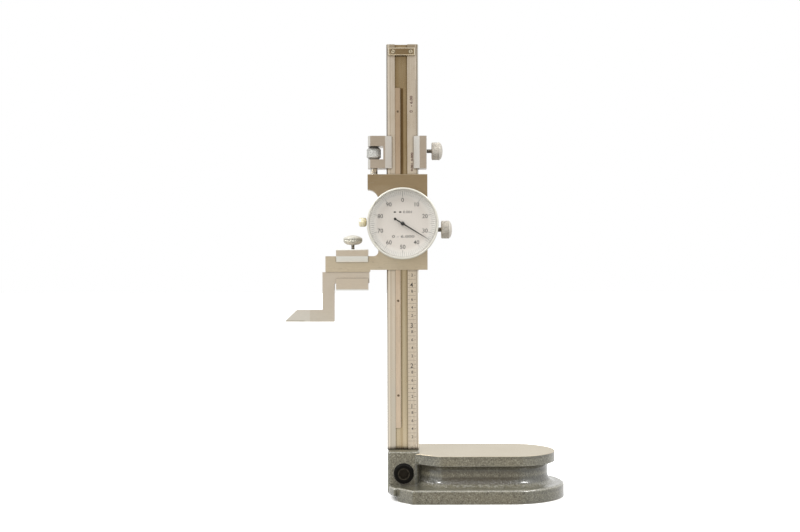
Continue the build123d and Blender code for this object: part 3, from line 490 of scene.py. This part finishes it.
M["slide_satin"] = brushed("slide_satin_chrome", (0.735, 0.66, 0.53), rough=0.36, var=0.07, direction=(0.05, 1, 1), fine=5200, stain=0.15, edge=-0.25,
                           grime_and_shade=0.7, grime_and_shade_dist=1.2, tint=slide_tint, coarse=0.15)
M["carriage_satin"] = brushed("carriage_satin_chrome", (0.585, 0.52, 0.452), rough=0.34, var=0.06, direction=(0.05, 1, 1), fine=5200, stain=0.12, edge=-0.15,
                              grime_and_shade=0.75, grime_and_shade_dist=1.0, tint=carriage_tint)
M["clamp_satin"] = brushed("clamp_satin_chrome", (0.765, 0.70, 0.615), rough=0.34, var=0.06, direction=(0.05, 1, 1), fine=5200, stain=0.12, edge=-0.2,
                           grime_and_shade=0.75, grime_and_shade_dist=1.0, tint=clamp_tint)


def clamp_knob_tint(g, col, base):
    """Dull green-grey in the grip flutes, lighter on the domed top."""
    z = g.xyz()[2]
    grip = g.math("MULTIPLY", g.mask(z, 0.1588, 0.1598), g.mask(z, 0.1628, 0.1618))
    return g.mix(g.math("MULTIPLY", grip, 0.45), col, (0.36, 0.355, 0.29))


def knurl_tint(g, col, base):
    """Oil and dirt caught in the knurl."""
    a = g.noise(g.coords(loc=(0.4, 0.6, 0.1)), scale=1000, detail=3, rough=0.7)
    b = g.noise(g.coords(loc=(0.8, 0.3, 0.5)), scale=1400, detail=2, rough=0.6)
    col = g.mix(g.maprange(a, 0.50, 0.62, 0, 0.55), col, tuple(c * 0.50 for c in base))
    return g.mix(g.maprange(b, 0.56, 0.66, 0, 0.45), col, tuple(min(1.0, c * 1.45) for c in base))


M["knob_nickel"] = brushed("knob_nickel", (0.61, 0.565, 0.50), rough=0.46, var=0.10, direction=(1, 1, 1), fine=1500, stain=0.25, edge=0.0,
                            grime_and_shade=0.90, grime_and_shade_dist=0.70, metal=0.40, tint=knurl_tint)
M["clamp_nickel"] = brushed("clamp_nickel", (0.72, 0.69, 0.615), rough=0.46, var=0.10, direction=(1, 1, 1), fine=1500, stain=0.20, edge=0.0,
                            grime_and_shade=0.85, grime_and_shade_dist=0.6, metal=0.40, tint=clamp_knob_tint)
M["nut_nickel"] = brushed("nut_nickel", (0.56, 0.555, 0.53), rough=0.48, var=0.10, direction=(1, 1, 1), fine=1500, stain=0.20, edge=0.0,
                           grime_and_shade=0.9, grime_and_shade_dist=1.6, metal=0.35, tint=knurl_tint)


def brass_tint(g, col, base):
    """Painted shade on the side of the head next to the bezel."""
    x, y, z = g.xyz()
    return g.mix(g.math("MULTIPLY", g.mask(x, -0.0246, -0.0232), 0.70), col, (0.50, 0.42, 0.24))


M["brass"] = brushed("turned_brass", (0.93, 0.84, 0.61), rough=0.40, var=0.06, direction=(1, 1, 1), fine=2600, stain=0.15, edge=0.2, tint=brass_tint)
M["arbor_steel"] = brushed("arbor_steel", (0.66, 0.64, 0.60), rough=0.2, var=0.05, direction=(1, 0.05, 1), fine=5000, stain=0.0, edge=0.0)


def dial_radius(g):
    """Distance from the dial's axis."""
    x, y, z = g.xyz()
    dz = g.math("SUBTRACT", z, 0.1709)
    return g.math("SQRT", g.math("ADD", g.math("MULTIPLY", x, x), g.math("MULTIPLY", dz, dz)))


def bezel_tint(g, col, base):
    """The narrow wall inside the glass is satin white, with painted shade in its lower half, whose faces look up."""
    up = g.mask(g.local_normal()[2], -0.5, 0.5)
    return g.mix(g.mask(dial_radius(g), 0.02100, 0.02085), col, g.mix(up, (0.96, 0.945, 0.90), (0.56, 0.535, 0.49)))


M["bezel_silver"] = brushed("bezel_satin", (0.71, 0.69, 0.62), rough=0.44, var=0.04, direction=(1, 1, 1), fine=2200, stain=0.08, edge=0.15, metal=0.30,
                            tint=bezel_tint)
M["thread_dark"] = brushed("thread_dark", (0.20, 0.19, 0.17), rough=0.34, var=0.2, direction=(1, 1, 1), fine=2400, stain=0.3, edge=0.3)
M["carbide"] = brushed("carbide_grey", (0.62, 0.58, 0.50), rough=0.30, var=0.15, direction=(0.05, 1, 1), fine=6000, stain=0.1, edge=0.3)

g = G("dial_enamel")
nn = g.noise(g.coords(), scale=3000, detail=3, rough=0.6)
cl = g.noise(g.coords(loc=(0.2, 0.3, 0.5)), scale=90, detail=3, rough=0.6)
col = g.ramp(nn, [(0.3, (0.610, 0.570, 0.520)), (0.75, (0.680, 0.640, 0.590))])
col = g.mix(g.maprange(cl, 0.35, 0.7, 0, 0.35), col, (0.630, 0.595, 0.545))
col = g.mix(1.0, col, (1.27, 1.26, 1.27), mode="MULTIPLY")
# painted light: the dial is lighter towards its rim, against the shade of the bezel wall
col = g.mix(g.mask(dial_radius(g), 0.0150, 0.0190), col, (0.97, 0.945, 0.90))
g.set(base=col, rough=g.maprange(nn, 0.3, 0.7, 0.42, 0.55), metal=0.0)
g.bump(nn, 0.15, 0.01)
M["dial_white"] = g.m

g = G("crystal")
nn = g.noise(g.coords(), scale=120, detail=2, rough=0.5)
g.set(base=(0.10, 0.10, 0.095), rough=g.maprange(nn, 0.3, 0.7, 0.03, 0.06), metal=0.0, alpha=0.07, ior=1.5)
M["crystal_clear"] = g.m

g = G("pointer_lacquer")
nn = g.noise(g.coords(), scale=2500, detail=2, rough=0.6)
g.set(base=g.ramp(nn, [(0.3, (0.012, 0.011, 0.010)), (0.8, (0.030, 0.028, 0.024))]), rough=g.maprange(nn, 0.3, 0.7, 0.35, 0.5), metal=0.0)
M["pointer_black"] = g.m

g = G("engraving_ink")
nn = g.noise(g.coords(), scale=4000, detail=3, rough=0.7)
g.set(base=g.ramp(nn, [(0.3, (0.022, 0.018, 0.016)), (0.8, (0.075, 0.066, 0.058))]), rough=g.maprange(nn, 0.3, 0.7, 0.5, 0.7), metal=0.0)
M["ink"] = g.m
g = G("faded_ink")
nn = g.noise(g.coords(), scale=4000, detail=3, rough=0.7)
g.set(base=g.ramp(nn, [(0.3, (0.085, 0.045, 0.034)), (0.8, (0.19, 0.115, 0.090))]), rough=g.maprange(nn, 0.3, 0.7, 0.5, 0.7), metal=0.0)
M["faded_ink"] = g.m
g = G("dial_print")
nn = g.noise(g.coords(), scale=4000, detail=3, rough=0.7)
g.set(base=g.ramp(nn, [(0.3, (0.075, 0.070, 0.066)), (0.8, (0.150, 0.140, 0.132))]), rough=g.maprange(nn, 0.3, 0.7, 0.5, 0.7), metal=0.0)
M["dial_ink"] = g.m

slots = {s["node"]: s["material_slot"] for s in frame["record"]["subparts"]}
for name, ob in N.items():
    key = slots[name]
    key = {"scriber": "scriber_steel", "carriage_body": "carriage_satin", "scriber_clamp": "clamp_satin",
           "top_stop_screws": "stop_screw_steel", "rack_screws": "rack_screw_steel", "back_plate_screws": "screw_steel",
           "case_screws": "screw_steel", "bridge_screws": "screw_steel", "gib_adjusting_screws": "screw_steel"}.get(name, key)
    ob.data.materials.clear()
    ob.data.materials.append(M[key])


# ------------------------------------------------------------------ mesh helpers
def make(name, verts, faces, mat, smooth_angle=None):
    me = bpy.data.meshes.new(name)
    me.from_pydata(verts, [], faces)
    me.validate()
    me.update()
    ob = bpy.data.objects.new(name, me)
    SC.collection.objects.link(ob)
    me.materials.append(mat)
    if smooth_angle is not None:
        me.polygons.foreach_set("use_smooth", [True] * len(me.polygons))
        me.update()
        me.set_sharp_from_angle(angle=math.radians(smooth_angle))
    return ob


def tri(x):
    x = x - math.floor(x)
    return 1.0 - abs(2.0 * x - 1.0)


AX = {"x": (Vector((1, 0, 0)), Vector((0, 1, 0)), Vector((0, 0, 1))),
      "y": (Vector((0, 1, 0)), Vector((0, 0, 1)), Vector((1, 0, 0))),
      "z": (Vector((0, 0, 1)), Vector((1, 0, 0)), Vector((0, 1, 0)))}


def turned(name, prof, axis, centre, mat, nseg=96, knurl=None, thread=None, smooth=35, extra=None):
    """Solid of revolution; prof is (r, s) in mm from one pole to the other along the axis.
    knurl = (s0, s1, depth, n, rows): diamond knurl, or straight where rows is 0.
    thread = (s0, s1, depth, pitch)."""
    a, u, v = AX[axis]
    c = Vector(centre)
    pts = []
    for i in range(len(prof) - 1):
        (r0, s0), (r1, s1) = prof[i], prof[i + 1]
        step = 1
        mid = (s0 + s1) / 2
        if knurl and min(knurl[0], knurl[1]) - 1e-6 <= mid <= max(knurl[0], knurl[1]) + 1e-6 and abs(r1 - r0) < 1e-6:
            step = max(2, int(abs(s1 - s0) / 0.16)) if knurl[4] else 2
        if thread and min(thread[0], thread[1]) - 1e-6 <= mid <= max(thread[0], thread[1]) + 1e-6 and abs(r1 - r0) < 1e-6:
            step = max(4, int(abs(s1 - s0) / thread[3] * 6))
        for k in range(step):
            t = k / step
            pts.append((r0 + (r1 - r0) * t, s0 + (s1 - s0) * t))
    pts.append(prof[-1])
    verts, rings = [], []
    for r, s in pts:
        if r < 1e-6:
            rings.append([len(verts)])
            verts.append(c + a * s)
            continue
        ring = []
        for k in range(nseg):
            th = 2 * math.pi * k / nseg
            rr = r
            if knurl:
                k0, k1 = min(knurl[0], knurl[1]), max(knurl[0], knurl[1])
                if k0 + 1e-4 < s < k1 - 1e-4:
                    ramp_ = min(1.0, (s - k0) / 0.25, (k1 - s) / 0.25)
                    if knurl[4]:
                        p = (k1 - k0) / knurl[4]
                        q = knurl[3] * th / (2 * math.pi)
                        d = 0.5 * (tri(q + s / p * 0.5) + tri(q - s / p * 0.5))
                    else:
                        d = tri(knurl[3] * th / (2 * math.pi))
                    rr = r - knurl[2] * (1 - d) * ramp_
            if thread:
                t0, t1 = min(thread[0], thread[1]), max(thread[0], thread[1])
                if t0 - 1e-4 < s < t1 + 1e-4:
                    rr = rr - thread[2] * (1 - tri(th / (2 * math.pi) + s / thread[3]))
            ring.append(len(verts))
            verts.append(c + a * s + (u * math.cos(th) + v * math.sin(th)) * rr)
        rings.append(ring)
    faces = []
    for i in range(len(rings) - 1):
        A, B = rings[i], rings[i + 1]
        if len(A) == 1 and len(B) == 1:
            continue
        n = max(len(A), len(B))
        for k in range(n):
            k2 = (k + 1) % n
            if len(A) == 1:
                faces.append((A[0], B[k2], B[k]))
            elif len(B) == 1:
                faces.append((A[k], A[k2], B[0]))
            else:
                faces.append((A[k], A[k2], B[k2], B[k]))
    ob = make(name, [p * MM for p in verts], faces, mat, smooth)
    bm = bmesh.new()
    bm.from_mesh(ob.data)
    bmesh.ops.recalc_face_normals(bm, faces=bm.faces)
    bm.to_mesh(ob.data)
    bm.free()
    ob.data.set_sharp_from_angle(angle=math.radians(smooth))
    return ob


def arc_prof(c_r, c_s, rad, a0, a1, n=6):
    return [(c_r + rad * math.cos(math.radians(a0 + (a1 - a0) * i / n)), c_s + rad * math.sin(math.radians(a0 + (a1 - a0) * i / n))) for i in range(n + 1)]


def box_mesh(items):
    """Closed boxes: each item is (centre, half x, half y, half z, rotation about Y in degrees)."""
    verts, faces = [], []
    for c, hx, hy, hz, rot in items:
        b = len(verts)
        R = Matrix.Rotation(math.radians(rot), 3, "Y")
        for sx, sy, sz in ((-1, -1, -1), (1, -1, -1), (1, 1, -1), (-1, 1, -1), (-1, -1, 1), (1, -1, 1), (1, 1, 1), (-1, 1, 1)):
            verts.append((Vector(c) + R @ Vector((sx * hx, sy * hy, sz * hz))) * MM)
        faces += [tuple(b + i for i in f) for f in ((0, 3, 2, 1), (4, 5, 6, 7), (0, 1, 5, 4), (1, 2, 6, 5), (2, 3, 7, 6), (3, 0, 4, 7))]
    return verts, faces


def text_mesh(name, items, mat, thick=0.02, bold=0.0):
    """Raised printed characters facing -Y: each item is (string, x, y, z, height mm, rotation clockwise in degrees, x stretch)."""
    parts = []
    for i, (txt, x, y, zz, h, rot, sx) in enumerate(items):
        cu = bpy.data.curves.new(f"{name}_t{i}", "FONT")
        cu.body = txt
        cu.align_x = "CENTER"
        cu.align_y = "CENTER"
        cu.size = h / 0.70 * MM
        cu.extrude = thick * 0.5 * MM
        cu.resolution_u = 3
        cu.offset = bold * MM
        ob = bpy.data.objects.new(f"{name}_t{i}", cu)
        SC.collection.objects.link(ob)
        ob.matrix_world = (Matrix.Translation(Vector((x, y, zz)) * MM) @ Matrix.Rotation(math.radians(rot), 4, "Y")
                           @ Matrix.Rotation(math.radians(90), 4, "X") @ Matrix.Diagonal((sx, 1, 1, 1)))
        parts.append(ob)
    bpy.context.view_layer.update()
    dg = bpy.context.evaluated_depsgraph_get()
    bm = bmesh.new()
    for ob in parts:
        me = bpy.data.meshes.new_from_object(ob.evaluated_get(dg))
        me.transform(ob.matrix_world)
        bm.from_mesh(me)
        bpy.data.meshes.remove(me)
    bmesh.ops.remove_doubles(bm, verts=bm.verts, dist=1e-7)
    bmesh.ops.recalc_face_normals(bm, faces=bm.faces)
    me = bpy.data.meshes.new(name)
    bm.to_mesh(me)
    bm.free()
    for ob in parts:
        cu = ob.data
        bpy.data.objects.remove(ob)
        bpy.data.curves.remove(cu)
    ob = bpy.data.objects.new(name, me)
    SC.collection.objects.link(ob)
    me.materials.clear()
    me.materials.append(mat)
    return ob


# ------------------------------------------------------------------ turned and knurled pieces
def knob_x(name, x_shaft0, x_face, x_dome, x_end, y, zz, R, r_shaft, body, node):
    prof = [(0, x_shaft0), (r_shaft - 0.35, x_shaft0), (r_shaft - 0.02, x_shaft0 + 0.4), (r_shaft - 0.02, x_face - 0.02)]
    prof += [(r_shaft + 0.9, x_face + 0.02), (R - 0.9, x_face + 0.02), (R - 0.35, x_face + 0.22), (R - 0.05, x_face + 0.62)]
    prof += [(R - 0.05, x_dome)]
    ln = x_end - x_dome
    for i in range(1, 10):
        a = math.radians(90 * i / 9)
        prof.append(((R - 0.35) * math.cos(a), x_dome + 0.12 + (ln - 0.14) * math.sin(a)))
    prof[-1] = (0, x_end - 0.02)
    ob = turned(name, prof, "x", (0, y, zz), M["knob_nickel"], nseg=216, knurl=(x_face + 0.62, x_dome, 0.58, 32, 5),
                thread=(x_shaft0 + 0.4, x_face - 0.02, 0.20, 0.7))
    ob.data.materials.append(M["thread_dark"])
    for p in ob.data.polygons:
        if p.center.x < (x_face - 0.01) * MM:
            p.material_index = 1
    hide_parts(node)
    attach(ob, body)
    return ob


knob_x("slide_lock_knob", 10.62, 24.3, 28.9, 31.2, 4.0, 167.7, 5.8, 1.5, "slide_lock", "slide_lock_screw")
knob_x("carriage_lock_knob", 10.62, 18.4, 23.1, 25.4, 4.0, 217.2, 5.75, 1.3, "carriage_lock", "carriage_lock_screw")

# clamp screw with its lens-shaped head
prof = [(0, 151.12), (0.7, 151.12), (1.08, 151.5), (1.08, 158.15), (1.7, 158.06), (3.5, 158.32), (4.8, 158.95), (5.5, 159.6), (5.95, 160.35)]
prof += [(5.95, 162.0)]
prof += [(5.6, 162.5), (4.8, 163.05), (3.7, 163.5), (2.4, 163.9), (1.2, 164.14), (0, 164.23)]
ob = turned("clamp_knob", prof, "z", (-31.2, -1.0, 0), M["clamp_nickel"], nseg=240, knurl=(160.35, 162.0, 0.62, 24, 0),
            thread=(151.5, 158.15, 0.18, 0.6))
ob.data.materials.append(M["thread_dark"])
for p in ob.data.polygons:
    if p.center.z < 158.05 * MM:
        p.material_index = 1
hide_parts("clamp_screw")
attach(ob, "clamp_knob")

# fine-adjusting nut: a ring with a diamond knurl
prof = [(2.53, 211.83), (3.1, 211.83), (4.56, 213.4), (4.58, 213.42), (4.58, 217.88), (4.56, 217.9), (3.1, 219.47), (2.53, 219.47), (2.53, 211.83)]


def ring_turned(name, prof, axis, centre, mat, nseg, knurl=None, smooth=35):
    a, u, v = AX[axis]
    c = Vector(centre)
    pts = []
    for i in range(len(prof) - 1):
        (r0, s0), (r1, s1) = prof[i], prof[i + 1]
        step = 1
        if knurl and abs(r1 - r0) < 1e-6 and min(s0, s1) >= knurl[0] - 1e-6 and max(s0, s1) <= knurl[1] + 1e-6 and r0 > knurl[5]:
            step = max(2, int(abs(s1 - s0) / 0.18))
        for k in range(step):
            t = k / step
            pts.append((r0 + (r1 - r0) * t, s0 + (s1 - s0) * t))
    verts, faces = [], []
    for r, s in pts:
        for k in range(nseg):
            th = 2 * math.pi * k / nseg
            rr = r
            if knurl and knurl[0] + 1e-4 < s < knurl[1] - 1e-4 and r > knurl[5]:
                ramp_ = min(1.0, (s - knurl[0]) / 0.25, (knurl[1] - s) / 0.25)
                q = knurl[3] * th / (2 * math.pi)
                if knurl[4]:
                    p = (knurl[1] - knurl[0]) / knurl[4]
                    d = 0.5 * (tri(q + s / p * 0.5) + tri(q - s / p * 0.5))
                else:
                    d = tri(q)
                rr = r - knurl[2] * (1 - d) * ramp_
            verts.append((c + a * s + (u * math.cos(th) + v * math.sin(th)) * rr) * MM)
    m = len(pts)
    for i in range(m):
        j = (i + 1) % m
        for k in range(nseg):
            k2 = (k + 1) % nseg
            faces.append((i * nseg + k, i * nseg + k2, j * nseg + k2, j * nseg + k))
    ob = make(name, verts, faces, mat, smooth)
    bm = bmesh.new()
    bm.from_mesh(ob.data)
    bmesh.ops.recalc_face_normals(bm, faces=bm.faces)
    bm.to_mesh(ob.data)
    bm.free()
    ob.data.set_sharp_from_angle(angle=math.radians(smooth))
    return ob


ob = ring_turned("fine_nut_knurled", prof, "z", (-18.0, 1.8, 0), M["nut_nickel"], 168, knurl=(213.42, 217.88, 0.48, 27, 5, 3.0))
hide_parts("fine_adjusting_nut")
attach(ob, "fine_nut")

# fine-adjusting stud with a real thread
prof = [(0, 195.8), (2.3, 195.8), (2.48, 196.0), (2.48, 223.9), (2.0, 224.45), (0, 224.45)]
ob = turned("fine_stud_threaded", prof, "z", (-18.0, 1.8, 0), M["stud_steel"], nseg=64, thread=(196.0, 223.9, 0.22, 0.5), smooth=50)
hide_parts("fine_adjusting_stud")
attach(ob, "slide")

# bezel lock screw
prof = [(0, -20.34), (0.7, -20.34), (0.98, -20.6), (0.98, -22.25), (1.6, -22.32), (2.25, -22.45), (2.62, -22.85), (2.78, -23.4), (2.78, -25.9), (2.6, -26.45), (2.1, -26.85), (1.2, -27.04), (0, -27.08)]
ob = turned("bezel_lock_knob", prof, "x", (0, -12.6, 171.9), M["brass"], nseg=144, knurl=(-25.9, -23.4, 0.26, 24, 0), smooth=35)
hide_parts("bezel_lock_screw")
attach(ob, "bezel_lock")

# ------------------------------------------------------------------ graduations on the column
SC0 = 32.3
face_y = -0.004
items = []
numer = []
for t in range(0, 61):
    zz = SC0 + IN * t / 10
    if zz > 262:
        break
    if t % 2 and t % 10:
        items.append(((5.70, face_y, zz), 2.45, 0.012, 0.055, 0))
    else:
        items.append(((3.72, face_y, zz), 0.42, 0.012, 0.06, 0))
        items.append(((7.62, face_y, zz), 0.62, 0.012, 0.075, 0))
    if t % 10 == 0 and t > 0:
        numer.append((str(t // 10), 5.55, face_y, zz - 1.15, 2.9, 0, 0.95))
    elif t % 2 == 0 and t > 0:
        numer.append((str(t % 10), 5.85, face_y, zz, 1.75, 0, 1.0))
v, f = box_mesh(items)
ob = make("column_graduations", v, f, M["ink"])
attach(ob, "base")
ob = text_mesh("column_numerals", numer, M["ink"], thick=0.024, bold=0.03)
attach(ob, "base")
# long rule line beside the graduations
v, f = box_mesh([((8.32, face_y, (33 + 262) / 2), 0.05, 0.012, (262 - 33) / 2, 0)])
ob = make("column_rule_line", v, f, M["ink"])
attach(ob, "base")
ob = text_mesh("column_range_numerals", [("0", 5.65, face_y, 241.9, 1.9, -90, 1.0), ("- 6.00", 5.65, face_y, 248.3, 1.6, -90, 1.28),
                                         ("0.001  6.000", 5.95, face_y, 210.2, 1.15, -90, 1.42)], M["faded_ink"], thick=0.024, bold=0.09)
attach(ob, "base")

# ------------------------------------------------------------------ dial print
DZ = 170.9
items = []
for i in range(100):
    a = 2 * math.pi * i / 100
    r1 = 19.95
    r0 = 16.6 if i % 10 == 0 else (17.3 if i % 5 == 0 else 17.7)
    w = 0.11 if i % 10 == 0 else 0.080
    rc = (r0 + r1) / 2
    items.append(((rc * math.sin(a), -15.708, DZ + rc * math.cos(a)), w, 0.012, (r1 - r0) / 2, 360.0 * i / 100))
v, f = box_mesh(items)
ob = make("dial_graduations", v, f, M["dial_ink"])
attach(ob, "bezel")
numer = []
for i in range(10):
    a = 2 * math.pi * i / 10
    r = 14.45
    numer.append((str(i * 10), r * math.sin(a), -15.708, DZ + r * math.cos(a), 2.5, 0, 1.0))
ob = text_mesh("dial_numerals", numer, M["dial_ink"], thick=0.024, bold=0.030)
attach(ob, "bezel")
ob = text_mesh("dial_small_numerals", [("0.001", 3.2, -15.708, DZ + 7.1, 1.45, 0, 1.3), ("0 - 6.000", 0.35, -15.708, DZ - 8.0, 1.55, 0, 1.75)],
               M["dial_ink"], thick=0.024, bold=0.02)
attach(ob, "bezel")
# bar and arrow marks beside the small numerals
MZ = DZ + 7.1
items = [((-4.55, -15.708, MZ), 0.42, 0.012, 0.42, 0), ((-1.75, -15.708, MZ), 0.42, 0.012, 0.42, 0)]
v, f = box_mesh(items)
for cx, sg in ((-4.97, -1), (-1.33, 1)):
    b0 = len(v)
    for yy in (-15.72, -15.696):
        v += [Vector((cx + 0.75 * sg, yy, MZ)) * MM, Vector((cx, yy, MZ + 0.62)) * MM, Vector((cx, yy, MZ - 0.62)) * MM]
    t6 = [(0, 1, 2), (5, 4, 3), (0, 3, 4, 1), (1, 4, 5, 2), (2, 5, 3, 0)]
    f += [tuple(b0 + i for i in (q if sg > 0 else q[::-1])) for q in t6]
ob = make("dial_division_marks", v, f, M["pointer_black"])
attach(ob, "bezel")

# ------------------------------------------------------------------ floor, light
def plane(name, size, z, mat):
    ob = make(name, [(-size, -size, z), (size, -size, z), (size, size, z), (-size, size, z)], [(0, 1, 2, 3)], mat)
    return ob


g = G("floor_white")
nn = g.noise(g.coords(), scale=3, detail=2)
g.set(base=g.ramp(nn, [(0.0, (0.93, 0.93, 0.925)), (1.0, (0.95, 0.95, 0.945))]), rough=0.75, metal=0.0, spec=0.2)
g.p.inputs["Emission Color"].default_value = (1, 1, 1, 1)
# the floor glows, and the glow fades close to the object: a painted contact shadow
g.link(g.maprange(g.ao(4.5, 0.25, 0.80, 16), 0, 1, 0.0, 0.55), g.p.inputs["Emission Strength"])
floor = plane("studio_floor", 6.0, -0.0002, g.m)
floor.visible_glossy = False
floor.visible_diffuse = False

w = bpy.data.worlds.new("studio")
SC.world = w
w.use_nodes = True
t = w.node_tree
t.nodes.clear()


def wn(kind):
    return t.nodes.new(kind)


def wmap(src, a, b, c, d, smooth=True):
    x = wn("ShaderNodeMapRange")
    x.interpolation_type = "SMOOTHSTEP" if smooth else "LINEAR"
    x.inputs[1].default_value = a
    x.inputs[2].default_value = b
    x.inputs[3].default_value = c
    x.inputs[4].default_value = d
    t.links.new(src, x.inputs[0])
    return x.outputs[0]


def wmix(fac, a, b):
    x = wn("ShaderNodeMix")
    x.data_type = "RGBA"
    t.links.new(fac, x.inputs["Factor"])
    for nm, vv in (("A", a), ("B", b)):
        s = [i for i in x.inputs if i.name == nm and i.type == "RGBA"][0]
        if isinstance(vv, tuple):
            s.default_value = (*vv, 1)
        else:
            t.links.new(vv, s)
    return [o for o in x.outputs if o.type == "RGBA"][0]


out = wn("ShaderNodeOutputWorld")
bg_cam, bg_dif, bg_env = wn("ShaderNodeBackground"), wn("ShaderNodeBackground"), wn("ShaderNodeBackground")
m1, m2, lp = wn("ShaderNodeMixShader"), wn("ShaderNodeMixShader"), wn("ShaderNodeLightPath")
t.links.new(lp.outputs["Is Diffuse Ray"], m1.inputs[0])
t.links.new(bg_env.outputs[0], m1.inputs[1])
t.links.new(bg_dif.outputs[0], m1.inputs[2])
t.links.new(lp.outputs["Is Camera Ray"], m2.inputs[0])
t.links.new(m1.outputs[0], m2.inputs[1])
t.links.new(bg_cam.outputs[0], m2.inputs[2])
t.links.new(m2.outputs[0], out.inputs[0])
bg_cam.inputs[0].default_value = (1, 1, 1, 1)
bg_cam.inputs[1].default_value = 1.0
tc = wn("ShaderNodeTexCoord")
sep = wn("ShaderNodeSeparateXYZ")
t.links.new(tc.outputs["Generated"], sep.inputs[0])
# even soft light for matt surfaces, a little stronger from above
dif = wmix(wmap(sep.outputs[2], -0.1, 0.9, 0.0, 1.0), (0.92, 0.905, 0.875), (1.45, 1.45, 1.43))
dif = wmix(wmap(sep.outputs[2], -0.55, 0.0, 0.0, 1.0), (0.60, 0.585, 0.55), dif)
t.links.new(dif, bg_dif.inputs[0])
bg_dif.inputs[1].default_value = DIFFUSE_LIGHT
# what polished metal mirrors: a dim warm room in front, white panels to the sides, above and behind
front = wmap(sep.outputs[1], -0.97, -0.72, 1.0, 0.0)
elev = wmap(sep.outputs[2], -0.05, 0.16, 0.0, 1.0)
room = wmix(elev, ROOM_LOW, ROOM_HIGH)
side = wmix(wmap(sep.outputs[2], -0.5, 0.7, 0.0, 1.0), SIDE_LOW, SIDE_HIGH)
side = wmix(wmap(sep.outputs[1], -0.1, 0.5, 0.0, 1.0), side, (0.95, 0.95, 0.94))
env = wmix(front, side, room)
t.links.new(env, bg_env.inputs[0])
bg_env.inputs[1].default_value = 1.0


def area(name, loc, target, sx, sy, power, col=(1, 1, 1)):
    d = bpy.data.lights.new(name, "AREA")
    d.shape = "RECTANGLE"
    d.size = sx
    d.size_y = sy
    d.energy = power
    d.color = col
    ob = bpy.data.objects.new(name, d)
    SC.collection.objects.link(ob)
    ob.location = loc
    ob.rotation_mode = "QUATERNION"
    ob.rotation_quaternion = (Vector(target) - Vector(loc)).to_track_quat("-Z", "Y")
    ob.visible_camera = False
    return ob


area("softbox_left", (-0.75, -0.5, 1.0), (0.04, 0, 0.03), 0.36, 0.30, 4.7, (1, 0.995, 0.98))
area("softbox_right", (0.75, -0.5, 1.0), (0.04, 0, 0.03), 0.32, 0.26, 3.2, (1, 0.995, 0.98))
fill = area("softbox_fill", (-1.2, -0.5, 0.35), (0.02, 0, 0.03), 0.5, 0.4, 2.0, (1, 0.995, 0.98))
fill.visible_glossy = False
glint = area("glint_left", (-0.80, -0.55, 1.0), (0.04, 0, 0.02), 0.60, 0.34, 8.0, (1, 1, 1))
glint.visible_diffuse = False
glint = area("glint_right", (0.80, -0.55, 1.0), (0.04, 0, 0.02), 0.50, 0.30, 6.0, (1, 1, 1))
glint.visible_diffuse = False
